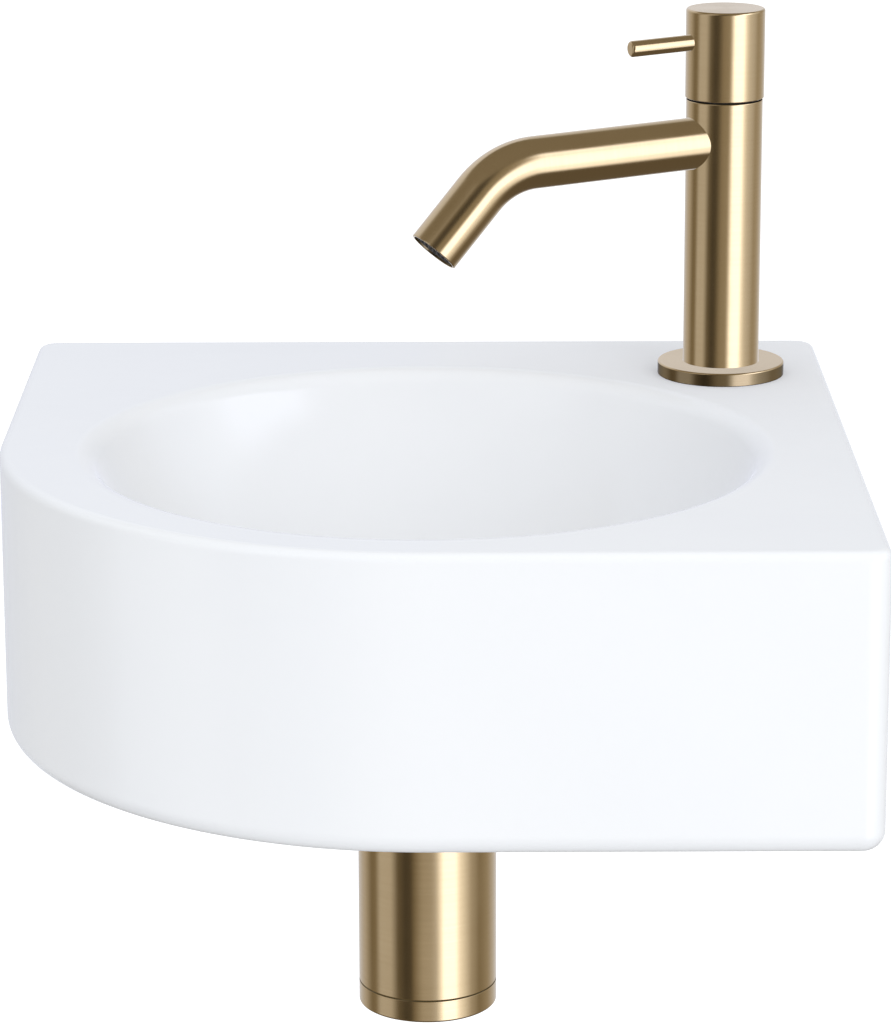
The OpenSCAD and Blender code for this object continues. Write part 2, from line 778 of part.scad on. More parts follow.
module cartridge_body() {
    window_z = foot_top_z - spindle_foot_h / 2 - window_h / 2;
    color(brass_colour) on_tap_axis() difference() {
        union() {
            disc(barrel_z, barrel_r, thread_z - barrel_z + cut);
            disc(thread_z, cartridge_bore_r - thread_gap, cartridge_thread_h);
            hexagon(tap_h, cartridge_flats, cartridge_hex_h);
            disc(tap_h, neck_r, cartridge_top_z - tap_h);
        }
        disc(barrel_z - cut, disc_r - barrel_ledge, 2 * cut + barrel_ledge);
        disc(fixed_disc_z, disc_bore_r, foot_top_z - fixed_disc_z + slide_gap);
        disc(foot_top_z, spindle_r + thread_gap, cartridge_top_z - foot_top_z + cut);
        // Pocket in which the spindle's lug turns between its two stops
        towards_spout() rotate([0, 0, -lug_angle / 2 - lug_play]) translate([0, 0, foot_top_z])
            rotate_extrude(angle = handle_turn + lug_angle + 2 * lug_play)
                square([lug_reach + thread_gap, lug_h + slide_gap * 2]);
        // Two windows that let the water out to the spout
        towards_spout() translate([-barrel_r - cut, -disc_r / 2, window_z])
            cube([2 * (barrel_r + cut), disc_r, window_h]);
        // Groove of the O-ring
        ring(cartridge_ring_z - cartridge_ring_r - slide_gap, barrel_r + cut,
             cartridge_ring_core_r - slide_gap, 2 * (cartridge_ring_r + slide_gap));
    }
}

module cartridge_o_ring() {
    color(rubber_colour) on_tap_axis()
        o_ring(cartridge_ring_z, cartridge_ring_core_r + cartridge_ring_r, cartridge_ring_r);
}

module seat_seal() {
    color(rubber_colour) on_tap_axis() ring(bore_z, barrel_r, waterway_r, seat_seal_h);
}

// A ceramic disc with its two flow windows, a quarter ring each
module flow_disc(z, turn) {
    on_tap_axis() rotate([0, 0, turn]) difference() {
        disc(z, disc_r, disc_h);
        for (half = [0, 180])
            rotate([0, 0, half - disc_window_angle / 2]) translate([0, 0, z - cut])
                rotate_extrude(angle = disc_window_angle) translate([disc_core_r, 0])
                    square([disc_r - disc_rim - disc_core_r, disc_h + 2 * cut]);
    }
}

module fixed_disc() color(disc_colour) flow_disc(fixed_disc_z, spout_turn);

module moving_disc() color(disc_colour) flow_disc(moving_disc_z, spout_turn + 90);

module spindle() {
    groove_r = spindle_r - 2 * spindle_ring_r;
    color(brass_colour) on_tap_axis() difference() {
        union() {
            disc(spindle_z, disc_r, spindle_foot_h);
            disc(spindle_z, spindle_r, cartridge_top_z - spindle_z);
            disc(spindle_z, spline_r, cartridge_top_z + spline_h - spindle_z);
            towards_spout() rotate([0, 0, -lug_angle / 2]) translate([0, 0, foot_top_z - cut])
                rotate_extrude(angle = lug_angle) square([lug_reach, lug_h + cut]);
        }
        // Cross way that lets the water through the foot
        rotate([0, 0, spout_turn + 90]) translate([-disc_r - cut, -disc_r / 4, spindle_z - cut])
            cube([2 * (disc_r + cut), disc_r / 2, spindle_foot_h / 2 + cut]);
        ring(spindle_ring_z - spindle_ring_r - slide_gap, spindle_r + cut, groove_r - slide_gap,
             2 * (spindle_ring_r + slide_gap));
    }
}

module spindle_o_ring() {
    color(rubber_colour) on_tap_axis()
        o_ring(spindle_ring_z, spindle_r - spindle_ring_r, spindle_ring_r);
}

module glide_ring() {
    color(dark_plastic_colour) on_tap_axis()
        ring(tap_h, glide_ring_r, cartridge_bore_r + seal_gap, glide_ring_h);
}

module handle_cap() {
    spline_top = cartridge_top_z + spline_h + slide_gap;
    color(brass_colour) on_tap_axis() difference() {
        soft_disc(handle_z, handle_r, handle_h, 0, handle_edge_r);
        disc(handle_z - cut, handle_hollow_r, handle_hollow_h + cut);
        disc(handle_z, spline_r + slide_gap, spline_top - handle_z);
        along_fall(lever_z) disc(handle_r - lever_root_l - seal_gap, lever_root_r + thread_gap,
                                 lever_root_l + cut);
        towards_spout() translate([0, 0, lever_z]) rotate([0, -90, 0])
            cylinder(r = grub_r + thread_gap, h = handle_r + cut);
    }
}

module lever_pin() {
    tip = lever_reach - handle_r - slide_gap;
    color(brass_colour) on_tap_axis() difference() {
        along_fall(lever_z)
            soft_disc(handle_r / 2, lever_r, tip + handle_r / 2 + slide_gap, 0, lever_tip_r);
        disc(0, handle_r + slide_gap, handle_top_z);
    }
    color(brass_colour) on_tap_axis() along_fall(lever_z)
        disc(handle_r - lever_root_l, lever_root_r, lever_root_l + lever_r);
}

module grub_screw() {
    color(steel_colour) on_tap_axis() towards_spout() translate([0, 0, lever_z])
        rotate([0, -90, 0]) difference() {
            disc(spline_r + slide_gap * 2, grub_r, grub_l);
            hexagon(spline_r + slide_gap * 2 + grub_l / 2, grub_socket, grub_l);
        }
}

module waste_body() {
    color(brass_colour) on_bowl_axis() {
        difference() {
            union() {
                soft_disc(waste_flange_z, waste_flange_r, waste_flange_h, 0, waste_flange_h / 2);
                disc(tail_z, waste_tail_r, waste_flange_z - tail_z + cut);
            }
            disc(tail_z - cut, waste_bore_r, waste_flange_z + waste_flange_h - tail_z + 2 * cut);
            disc(grid_z, grid_r + seal_gap, grid_h + cut);
        }
        // Cross bar and hub that take the grid's screw
        difference() {
            union() {
                disc(hub_z, hub_r, hub_h);
                for (turn = [0, 90])
                    rotate([0, 0, turn]) translate([-waste_bore_r - slide_gap, -cross_bar_w / 2, hub_z])
                        cube([2 * (waste_bore_r + slide_gap), cross_bar_w, hub_h]);
            }
            disc(hub_z - cut, grid_screw_r + thread_gap, hub_h + 2 * cut);
        }
    }
}

// A ring of round holes through the grid
module grid_holes(count, radius) {
    for (k = [0 : count - 1])
        rotate([0, 0, k * 360 / count]) translate([radius, 0, 0])
            disc(grid_z - cut, grid_hole_r, grid_h + 2 * cut);
}

module strainer_grid() {
    color(brass_colour) on_bowl_axis() difference() {
        disc(grid_z, grid_r, grid_h);
        disc(grid_z - cut, grid_screw_r + seal_gap, grid_h + 2 * cut);
        grid_holes(grid_outer_holes, waste_bore_r - grid_hole_r - grid_rim);
        grid_holes(grid_inner_holes, waste_bore_r / 2);
    }
}

module grid_screw() {
    head_z = grid_z + grid_h;
    head_h = grid_screw_head_h;
    tip_z = hub_z - grid_screw_past_hub;
    color(brass_colour) on_bowl_axis() difference() {
        union() {
            disc(tip_z, grid_screw_r, head_z - tip_z + cut);
            soft_disc(head_z, grid_screw_head_r, head_h, 0, head_h / 2);
        }
        hexagon(head_z + head_h / 4, grid_screw_socket, head_h);
    }
}

module waste_top_gasket() {
    color(rubber_colour) on_bowl_axis()
        ring(seat_z, waste_flange_r - grid_rim, waste_tail_r + seal_gap, top_gasket_h);
}

module waste_lower_gasket() {
    color(rubber_colour) on_bowl_axis()
        ring(lower_gasket_z, waste_nut_r, waste_tail_r + seal_gap, lower_gasket_h);
}

// Round back nut with grip notches
module waste_back_nut() {
    color(brass_colour) on_bowl_axis() difference() {
        disc(waste_nut_z, waste_nut_r, waste_nut_h);
        disc(waste_nut_z - cut, waste_tail_r + thread_gap, waste_nut_h + 2 * cut);
        for (k = [0 : notch_count - 1])
            rotate([0, 0, k * 360 / notch_count]) translate([waste_nut_r + notch_out, 0, 0])
                disc(waste_nut_z - cut, notch_r, waste_nut_h + 2 * cut);
    }
}

// A union nut: threaded inside, with a ledge at its closed end that stands at z
module ledge_nut(z, r_out, r_thread, r_ledge, h) {
    difference() {
        soft_disc(z, r_out, h, turned_edge_r, turned_edge_r);
        disc(z - cut, r_ledge, h + 2 * cut);
        disc(z + nut_ledge, r_thread, h);
    }
}

module trap_inlet_nut() {
    color(brass_colour) on_bowl_axis()
        ledge_nut(inlet_nut_z, inlet_nut_r, waste_tail_r + thread_gap, tube_r + seal_gap, inlet_nut_h);
}

module trap_inlet_seal() {
    color(rubber_colour) on_bowl_axis()
        ring(inlet_seal_z, collar_r, tube_r - tube_wall, inlet_seal_h);
}

module dip_tube() {
    color(brass_colour) on_bowl_axis() difference() {
        union() {
            disc(collar_z, collar_r, collar_h);
            disc(dip_end_z, tube_r, collar_z - dip_end_z + collar_h);
        }
        disc(dip_end_z - cut, tube_r - tube_wall, collar_z - dip_end_z + collar_h + 2 * cut);
    }
}

// The neck nut hangs with its ledge on top of the seal, so it is a union nut upside down
module trap_neck_nut() {
    color(brass_colour) on_bowl_axis() translate([0, 0, neck_nut_top_z]) mirror([0, 0, 1])
        ledge_nut(0, clamp_nut_r, stub_r + thread_gap, tube_r + seal_gap, clamp_nut_h);
}

module trap_neck_seal() {
    color(rubber_colour) on_bowl_axis()
        ring(neck_seal_z, stub_r - seal_gap, tube_r + thread_gap, clamp_seal_h);
}

module trap_cylinder() {
    inner_r = trap_r - trap_wall;
    color(brass_colour) on_bowl_axis() difference() {
        union() {
            soft_disc(trap_bottom_z, trap_r, trap_h, 0, turned_edge_r);
            disc(trap_top_z - cut, stub_r, neck_stub_h + cut);
            translate([0, 0, outlet_z]) rotate([-90, 0, 0]) cylinder(r = stub_r, h = outlet_stub_y);
        }
        disc(trap_bottom_z - cut, inner_r, trap_h - trap_top_h + cut);
        disc(trap_top_z - trap_top_h - cut, tube_r + seal_gap, trap_top_h + neck_stub_h + 2 * cut);
        translate([0, 0, outlet_z]) rotate([-90, 0, 0])
            cylinder(r = tube_r + seal_gap, h = outlet_stub_y + cut);
    }
}

module clean_out_cap() {
    cap_top = trap_bottom_z - cap_seam;
    collar_top = trap_bottom_z + cap_thread_h;
    groove_h = 2 * (cap_ring_r + slide_gap);
    color(brass_colour) on_bowl_axis() difference() {
        union() {
            soft_disc(cap_z, trap_r, cap_h, cap_edge_r, 0);
            disc(cap_top - cut, cap_thread_r, collar_top - cap_top + cut);
        }
        disc(cap_z + cap_floor, cap_thread_r - 2 * trap_wall, collar_top - cap_z);
        ring(cap_ring_z - groove_h / 2, trap_r, cap_ring_core_r - slide_gap, groove_h);
    }
}

module clean_out_o_ring() {
    color(rubber_colour) on_bowl_axis()
        o_ring(cap_ring_z, cap_ring_core_r + cap_ring_r, cap_ring_r);
}

// The outlet's pieces lie along Y at the outlet's height, with Z of the piece towards the wall
module on_outlet_axis() on_bowl_axis() translate([0, 0, outlet_z]) rotate([-90, 0, 0]) children();

module outlet_nut() {
    color(brass_colour) on_outlet_axis() translate([0, 0, outlet_nut_y]) mirror([0, 0, 1])
        ledge_nut(0, clamp_nut_r, stub_r + thread_gap, tube_r + seal_gap, clamp_nut_h);
}

module outlet_seal() {
    color(rubber_colour) on_outlet_axis()
        ring(outlet_stub_y, stub_r - seal_gap, tube_r + thread_gap, clamp_seal_h);
}

module outlet_tube() {
    color(brass_colour) on_outlet_axis() difference() {
        ring(outlet_inner_y, tube_r, tube_r - tube_wall,
             bowl_from_wall + outlet_into_wall - outlet_inner_y);
        // Insertion mark turned into the tube just behind the wall's face
        ring(bowl_from_wall + mark_from_wall, tube_r + cut, tube_r - mark_depth, mark_w);
    }
}

module wall_rosette() {
    color(brass_colour) on_outlet_axis() translate([0, 0, bowl_from_wall]) mirror([0, 0, 1])
        difference() {
            soft_disc(0, rosette_r, rosette_h, 0, rosette_edge_r);
            disc(-cut, tube_r + slide_gap, rosette_h + 2 * cut);
            disc(-cut, rosette_r - rosette_edge_r - rosette_rim, rosette_h - rosette_sheet + cut);
        }
}

basin_shell();
basin_bowl();
tap_flange();
tap_flange_seal();
tap_body();
spout_tube();
aerator_body();
aerator_screen();
aerator_seal();
tap_shank();
centring_bush();
tap_washer();
tap_back_nut();
cartridge_body();
cartridge_o_ring();
seat_seal();
fixed_disc();
moving_disc();
spindle();
spindle_o_ring();
glide_ring();
handle_cap();
lever_pin();
grub_screw();
waste_body();
strainer_grid();
grid_screw();
waste_top_gasket();
waste_lower_gasket();
waste_back_nut();
trap_inlet_nut();
trap_inlet_seal();
dip_tube();
trap_neck_nut();
trap_neck_seal();
trap_cylinder();
clean_out_cap();
clean_out_o_ring();
outlet_nut();
outlet_seal();
outlet_tube();
wall_rosette();
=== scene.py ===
import json
import logging
import math
from collections.abc import Sequence
from dataclasses import dataclass, field, replace
from enum import Enum

import bpy
import numpy as np
from mathutils import Matrix, Vector
from mathutils.geometry import delaunay_2d_cdt

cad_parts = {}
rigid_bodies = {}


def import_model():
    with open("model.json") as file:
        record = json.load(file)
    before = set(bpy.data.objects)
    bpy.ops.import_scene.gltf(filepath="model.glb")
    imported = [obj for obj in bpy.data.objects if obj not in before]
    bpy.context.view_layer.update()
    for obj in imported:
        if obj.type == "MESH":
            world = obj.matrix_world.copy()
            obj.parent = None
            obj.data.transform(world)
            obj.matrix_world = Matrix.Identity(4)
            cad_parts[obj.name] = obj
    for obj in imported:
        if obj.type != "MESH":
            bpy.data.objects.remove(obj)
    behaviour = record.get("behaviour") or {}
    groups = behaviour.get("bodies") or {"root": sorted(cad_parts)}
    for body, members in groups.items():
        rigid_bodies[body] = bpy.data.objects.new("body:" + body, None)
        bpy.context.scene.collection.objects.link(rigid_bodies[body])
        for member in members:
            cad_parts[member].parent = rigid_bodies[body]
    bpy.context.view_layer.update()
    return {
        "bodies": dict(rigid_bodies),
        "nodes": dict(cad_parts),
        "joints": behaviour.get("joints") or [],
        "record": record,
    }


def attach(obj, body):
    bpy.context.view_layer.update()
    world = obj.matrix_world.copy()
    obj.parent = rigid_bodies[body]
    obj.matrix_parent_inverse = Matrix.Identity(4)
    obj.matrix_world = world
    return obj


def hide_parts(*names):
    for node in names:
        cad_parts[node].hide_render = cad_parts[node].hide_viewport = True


log = logging.getLogger("hand_basin")

MM = 0.001
FULL_TURN = 2.0 * math.pi
BRUSH = "brush"
# Attribute that holds the unglazed body's mark on the ceramic and the strength of painted shade on metal pieces, from
# 0 to 1
BARE_AND_PAINTED_SHADE = "bare_and_painted_shade"
UV = "brushing"
UV_SCALE = 0.01

Array = np.ndarray
Colour = tuple[float, float, float]
Socket = bpy.types.NodeSocket


class Body(Enum):
    """The bodies of the frame that a piece can ride on."""

    BASIN = "basin"
    HANDLE = "handle"
    CAP = "cap"
    ROSETTE = "rosette"


class Slot(Enum):
    """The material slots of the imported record."""

    CERAMIC = "ceramic"
    BRUSHED_BRASS = "brushed_brass"
    TURNED_BRASS = "turned_brass"
    BLACK_RUBBER = "black_rubber"
    WHITE_PLASTIC = "white_plastic"
    DARK_PLASTIC = "dark_plastic"
    DISC_CERAMIC = "disc_ceramic"
    SCREW_STEEL = "screw_steel"


class Ends(Enum):
    """How the first and the last row of a patch end."""

    RING = "the last row joins the first"
    POLES = "both end rows shrink to one point"


# Profiles and placements


def walked(steps: Array) -> Array:
    """Distance from the first row to each row, from the steps between them."""
    return np.concatenate([[0.0], np.cumsum(steps)])


def ring_of(count: int, radius: float = 1.0) -> Array:
    """Evenly spaced points on a circle: radius (cos t, sin t) for t = 2 pi i / count."""
    t = np.arange(count) * FULL_TURN / count
    return radius * np.stack([np.cos(t), np.sin(t)], axis=1)


def soft_corner(a: Array, corner: Array, b: Array, s: Array | float) -> Array:
    """The curve (1-s)^2 A + 2 s (1-s) C + s^2 B, which leaves A and meets B along the lines to C."""
    return (1 - s) ** 2 * a + 2 * s * (1 - s) * corner + s**2 * b


@dataclass
class Profile:
    """A section in the half plane of radius and height, walked with the solid on the left.

    Attributes:
        points: Rows of (radius, height) in mm.
        normals: The outward direction at each point.
    """

    points: Array
    normals: Array

    def along(self) -> Array:
        """Distance walked from the first point to each point, in mm."""
        return walked(np.linalg.norm(np.diff(self.points, axis=0), axis=1))


def rounded_profile(corners: Sequence[tuple[float, float, float]], ends: Ends, fine: float = 15.0) -> Profile:
    """Walks a polygon and turns each corner on an arc of its own radius.

    At a corner of radius q that turns by the angle f, the arc starts q*tan(f/2) before the corner.
    Its points are centre + q*(cos, sin) of an angle that grows evenly over f.

    Args:
        corners: (radius, height, rounding) of each corner in mm, with the solid on the left.
        ends: RING closes the polygon. POLES leaves the first and last corner as they are.
        fine: Largest step of an arc in degrees.

    Returns:
        The profile, with an exact normal at each point.
    """
    place = np.array([c[:2] for c in corners], float)
    points, normals = [], []
    count = len(corners)
    for k in range(count):
        before, here, after = place[k - 1], place[k], place[(k + 1) % count]
        if ends is Ends.POLES and k in (0, count - 1):
            walk = (after - here) if k == 0 else (here - before)
            walk = walk / np.linalg.norm(walk)
            points.append(here[None])
            normals.append(np.array([[walk[1], -walk[0]]]))
            continue
        a = (here - before) / np.linalg.norm(here - before)
        b = (after - here) / np.linalg.norm(after - here)
        turn = math.atan2(a[0] * b[1] - a[1] * b[0], float(a @ b))
        size = corners[k][2]
        steps = max(2, math.ceil(abs(math.degrees(turn)) / fine))
        share = np.linspace(0.0, 1.0, steps + 1) * turn
        cos, sin = np.cos(share), np.sin(share)
        walk = np.stack([a[0] * cos - a[1] * sin, a[0] * sin + a[1] * cos], axis=1)
        out = np.stack([walk[:, 1], -walk[:, 0]], axis=1)
        side = 1.0 if turn > 0 else -1.0
        start = here - a * size * math.tan(abs(turn) / 2.0)
        centre = start - out[0] * size * side
        points.append(centre + out * size * side)
        normals.append(out)
    return Profile(np.concatenate(points), np.concatenate(normals))


def place_at(x: float, y: float, z: float) -> Matrix:
    """A placement that only moves, in mm."""
    return Matrix.Translation((x, y, z))


def pointing(origin: tuple[float, float, float], axis: tuple[float, float, float]) -> Matrix:
    """A placement whose Z runs along an axis.

    Args:
        origin: Where the local origin goes, in mm.
        axis: Direction of the local Z.

    Returns:
        The placement.
    """
    turn = Vector((0.0, 0.0, 1.0)).rotation_difference(Vector(axis))
    return Matrix.Translation(origin) @ turn.to_matrix().to_4x4()


# Patches: grids of points made into meshes


@dataclass
class Patch:
    """A closed grid of points: rows along a section, columns round it.

    Attributes:
        points: Grid of places in mm, rows by columns by 3.
        ends: How the first and last row end.
        along: Distance walked along the section at each row, in mm.
        normals: Exact normals on the same grid, or None to leave them to the mesh.
        brush: Places on the straightened piece that the brushed pattern reads, or None for points.
        bare_and_painted_shade: How far the glaze is missing on the ceramic, and how strong the painted shade is on
            metal, from 0 to 1, on the same grid, or None.
    """

    points: Array
    ends: Ends
    along: Array
    normals: Array | None = None
    brush: Array | None = None
    bare_and_painted_shade: Array | None = None

    def moved(self, placement: Matrix) -> "Patch":
        """The same patch carried to another place.

        Args:
            placement: A placement in mm without scale.

        Returns:
            The carried patch. Its brushed pattern stays as it was.
        """
        m = np.array(placement)
        brush = self.points if self.brush is None else self.brush
        points = self.points @ m[:3, :3].T + m[:3, 3]
        normals = None if self.normals is None else self.normals @ m[:3, :3].T
        return Patch(points, self.ends, self.along, normals, brush, self.bare_and_painted_shade)

    def with_painted_shade(self, low: float, high: float, reach: float, share: float = 1.0, bent: bool = False) -> "Patch":
        """Paints shade into rows of a turned or bent piece that lie in shade: seams, gaps under other parts, recesses
        and contact lines.

        Args:
            low: Lowest height marked in mm.
            high: Highest height marked in mm.
            reach: Largest radius marked in mm.
            share: How strong the painted shade is, from 0 to 1.
            bent: Whether the piece is swept, so that its heights are distances along its path.

        Returns:
            The patch with its painted shade.
        """
        x, y, z = np.moveaxis(self.brush if bent else self.points, 2, 0)
        mark = share * ((z >= low) & (z <= high) & (np.hypot(x, y) <= reach))
        bare_and_painted_shade = mark if self.bare_and_painted_shade is None else np.maximum(mark, self.bare_and_painted_shade)
        return replace(self, bare_and_painted_shade=bare_and_painted_shade)

    def arrays(self) -> tuple[Array, list[Array], list[Array], dict[str, Array | None]]:
        """Vertices, faces and face corners of the grid.

        Row j and column i make the quad (j, i), (j, i+1), (j+1, i+1), (j+1, i). At a pole the quads
        become triangles on one shared vertex.

        Returns:
            Vertices, faces as arrays of corners, matching UV corners, and the vertex data by name.
        """
        rows, columns, _ = self.points.shape
        index = np.arange(rows * columns).reshape(rows, columns)
        keep = np.ones((rows, columns), bool)
        if self.ends is Ends.POLES:
            index[0, :] = index[0, 0]
            index[-1, :] = index[-1, 0]
            keep[0, 1:] = False
            keep[-1, 1:] = False
        order = np.cumsum(keep.ravel()) - 1
        index = order[index]
        wrap_i = np.append(np.arange(columns), 0)
        across = index[:, wrap_i]
        u = np.append(self.along, self.along[-1]) if self.ends is Ends.RING else self.along
        v = np.linspace(0.0, 1.0, columns + 1)
        if self.ends is Ends.RING:
            across = np.vstack([across, across[:1]])
        a, b = across[:-1, :-1], across[:-1, 1:]
        c, d = across[1:, 1:], across[1:, :-1]
        quads = np.stack([a, b, c, d], axis=-1)
        u0, u1 = np.broadcast_to(u[:-1, None], a.shape), np.broadcast_to(u[1:, None], a.shape)
        v0, v1 = np.broadcast_to(v[None, :-1], a.shape), np.broadcast_to(v[None, 1:], a.shape)
        uv = np.stack([np.stack(p, axis=-1) for p in ((u0, v0), (u0, v1), (u1, v1), (u1, v0))], axis=-2)
        faces, corners = [], []
        if self.ends is Ends.POLES:
            faces.append(np.stack([a[0], c[0], d[0]], axis=-1))
            corners.append(uv[0][:, [0, 2, 3]])
            faces.append(np.stack([a[-1], b[-1], c[-1]], axis=-1))
            corners.append(uv[-1][:, [0, 1, 2]])
            quads, uv = quads[1:-1], uv[1:-1]
        faces.append(quads.reshape(-1, 4))
        corners.append(uv.reshape(-1, 4, 2))
        flat = keep.ravel()
        brush = self.points if self.brush is None else self.brush
        data: dict[str, Array | None] = {
            "normals": None if self.normals is None else self.normals.reshape(-1, 3)[flat],
            BRUSH: brush.reshape(-1, 3)[flat],
            BARE_AND_PAINTED_SHADE: None if self.bare_and_painted_shade is None else self.bare_and_painted_shade.ravel()[flat],
        }
        return self.points.reshape(-1, 3)[flat], faces, corners, data


def revolve(profile: Profile, ends: Ends, columns: int) -> Patch:
    """Turns a profile round the Z axis.

    P(j, t) = (r_j cos t, r_j sin t, z_j) for the angles t = 2 pi i / columns.

    Args:
        profile: The section.
        ends: RING for a section clear of the axis, POLES for one that starts and ends on it.
        columns: Number of steps round the axis.

    Returns:
        The patch, with exact normals.
    """
    ring = ring_of(columns)

    def turned(section: Array) -> Array:
        """Carries rows of (radius, height) round the axis."""
        rise = np.broadcast_to(section[:, 1, None, None], (len(section), columns, 1))
        return np.concatenate([section[:, :1, None] * ring[None], rise], axis=2)

    points, along = turned(profile.points), profile.along()
    return Patch(points, ends, along, turned(profile.normals), straightened(points, along))


def straightened(points: Array, along: Array) -> Array:
    """Places that the brushed pattern reads: heights give way to the distance walked along the section."""
    brush = points.copy()
    brush[:, :, 2] = along[:, None]
    return brush


def lathe(columns: int, *corners: tuple[float, float, float], ends: Ends = Ends.RING, fine: float = 15.0) -> Patch:
    """Turns a polygon with rounded corners round the Z axis.

    Args:
        columns: Number of steps round the axis.
        *corners: (radius, height, rounding) of each corner in mm, with the solid on the left.
        ends: RING for a section clear of the axis, POLES for one that starts and ends on it.
        fine: Largest step of a corner's arc in degrees.

    Returns:
        The patch, with exact normals.
    """
    return revolve(rounded_profile(corners, ends, fine), ends, columns)


def turned_grid(radius: Array, height: Array, ends: Ends) -> Patch:
    """A turned piece whose radius also changes round the axis, such as a hexagon or a thread.

    P(j, i) = (R_ji cos t_i, R_ji sin t_i, z_j).

    Args:
        radius: Radii in mm, rows by columns.
        height: Height of each row in mm.
        ends: How the first and last row end.

    Returns:
        The patch, with its normals left to the mesh.
    """
    t = np.arange(radius.shape[1]) * FULL_TURN / radius.shape[1]
    rise = np.broadcast_to(height[:, None], radius.shape)
    points = np.stack([radius * np.cos(t), radius * np.sin(t), rise], axis=2)
    along = walked(np.hypot(np.diff(radius.mean(axis=1)), np.diff(height)))
    return Patch(points, ends, along, None, straightened(points, along))


def hexagon_radius(flats: float, columns: int) -> Array:
    """Radius of a hexagon in each direction: half the flats over cos of the angle off the flat's middle.

    Args:
        flats: Width across the flats in mm.
        columns: Number of directions, a multiple of 6 so that the corners are met.

    Returns:
        One radius for each direction, with a corner in the first.
    """
    t = np.degrees(np.arange(columns) * FULL_TURN / columns)
    return flats / 2.0 / np.cos(np.radians(np.mod(t, 60.0) - 30.0))


def wave(height: Array, columns: int, pitch: float) -> Array:
    """A screw thread's rounded wave: (1 - cos(2 pi (z / pitch - t / 2 pi))) / 2.

    Args:
        height: Height of each row in mm.
        columns: Number of steps round the axis.
        pitch: Rise of one turn in mm.

    Returns:
        The depth of the wave from 0 at the crest to 1 at the root, rows by columns.
    """
    turn = np.arange(columns) / columns
    return 0.5 - 0.5 * np.cos(FULL_TURN * (height[:, None] / pitch - turn[None]))


@dataclass(frozen=True)
class BentPath:
    """A centre line that runs level, bends down on an arc and ends straight.

    Attributes:
        straight: Length of the level run in mm.
        bend_r: Radius of the bend in mm.
        bend: Angle of the bend in degrees.
        leg: Length of the last straight run in mm.
    """

    straight: float
    bend_r: float
    bend: float
    leg: float

    def length(self) -> float:
        """Length of the whole centre line in mm."""
        return self.straight + self.bend_r * math.radians(self.bend) + self.leg

    def frames(self, s: Array) -> tuple[Array, Array, Array]:
        """Places and directions on the centre line.

        With f the share of the bend passed at the distance s, the place is the level run's end plus
        bend_r*(sin f, 0, cos f - 1), and what lies past the bend follows the direction (cos f, 0, -sin f).

        Args:
            s: Distances from the start in mm.

        Returns:
            Places, in-plane normals and sideways normals, each one row for each distance.
        """
        full = math.radians(self.bend)
        f = np.clip((s - self.straight) / self.bend_r, 0.0, full)
        rest = np.maximum(s - self.straight - self.bend_r * full, 0.0)
        level = np.minimum(s, self.straight)
        x = level + self.bend_r * np.sin(f) + rest * np.cos(f)
        z = self.bend_r * (np.cos(f) - 1.0) - rest * np.sin(f)
        place = np.stack([x, np.zeros_like(x), z], axis=1)
        normal = np.stack([-np.sin(f), np.zeros_like(f), -np.cos(f)], axis=1)
        side = np.broadcast_to(np.array([0.0, 1.0, 0.0]), normal.shape)
        return place, normal, side


def sweep(path: BentPath, profile: Profile, columns: int) -> Patch:
    """Carries a round section along a bent path.

    P(j, t) = C(s_j) + r_j (cos t N(s_j) + sin t B(s_j)), with the profile's heights as distances s.

    Args:
        path: The centre line.
        profile: Rows of (radius, distance along the path), a closed ring.
        columns: Number of steps round the path.

    Returns:
        The patch, with exact normals.
    """
    place, normal, side = path.frames(profile.points[:, 1])
    ahead = np.cross(normal, side)
    t = np.arange(columns) * FULL_TURN / columns
    spoke = np.cos(t)[None, :, None] * normal[:, None] + np.sin(t)[None, :, None] * side[:, None]
    points = place[:, None] + profile.points[:, :1, None] * spoke
    normals = profile.normals[:, :1, None] * spoke + profile.normals[:, 1:, None] * ahead[:, None]
    along = profile.along()
    r = profile.points[:, :1]
    distance = np.broadcast_to(profile.points[:, 1:], (len(r), columns))
    brush = np.stack([r * np.cos(t), r * np.sin(t), distance], axis=2)
    return Patch(points, Ends.RING, along, normals, brush)


def saddle_fillet(body_r: float, tube_r: float, width: float, columns: int = 96) -> Patch:
    """The concave bead where a tube leaves a cylinder square to its axis.

    Round the tube by the angle t, the two surfaces meet at C = (sqrt(R^2 - y^2), y, z) with
    (y, z) = tube_r (cos t, sin t). The bead is the curve (1-s)^2 A + 2 s (1-s) C + s^2 B from A, on the
    cylinder, to B, on the tube, both a width from C. It closes through the metal behind.

    Args:
        body_r: Radius of the cylinder, whose axis is Z, in mm.
        tube_r: Radius of the tube, whose axis is X, in mm.
        width: Distance from the meeting line to either edge of the bead in mm.
        columns: Number of steps round the tube.

    Returns:
        The patch.
    """
    t = np.arange(columns) * FULL_TURN / columns

    def on_body(r: float) -> Array:
        """Points of the cylinder that lie over the circle of radius r."""
        y, z = r * np.cos(t), r * np.sin(t)
        return np.stack([np.sqrt(body_r**2 - y**2), y, z], axis=1)

    corner = on_body(tube_r)
    a = on_body(tube_r + width)
    b = corner + np.array([width, 0.0, 0.0])
    s = np.linspace(0.0, 1.0, 7)[:, None, None]
    bead = soft_corner(a, corner, b, s)
    inside = on_body(tube_r - width) - np.array([width, 0.0, 0.0])
    points = np.concatenate([bead[::-1], inside[None]])
    along = np.linspace(0.0, 3.0 * width, len(points))
    return Patch(points, Ends.RING, along)


def loft(loops: Array) -> Patch:
    """Joins closed loops in a row and shuts both ends on the middle of the end loops.

    Args:
        loops: Loops by points by 3, in mm.

    Returns:
        The patch, with a pole at each end.
    """
    first = np.broadcast_to(loops[0].mean(axis=0), loops[0].shape)
    last = np.broadcast_to(loops[-1].mean(axis=0), loops[-1].shape)
    points = np.concatenate([first[None], loops, last[None]])
    along = walked(np.linalg.norm(np.diff(points.mean(axis=1), axis=0), axis=1))
    return Patch(points, Ends.POLES, along)


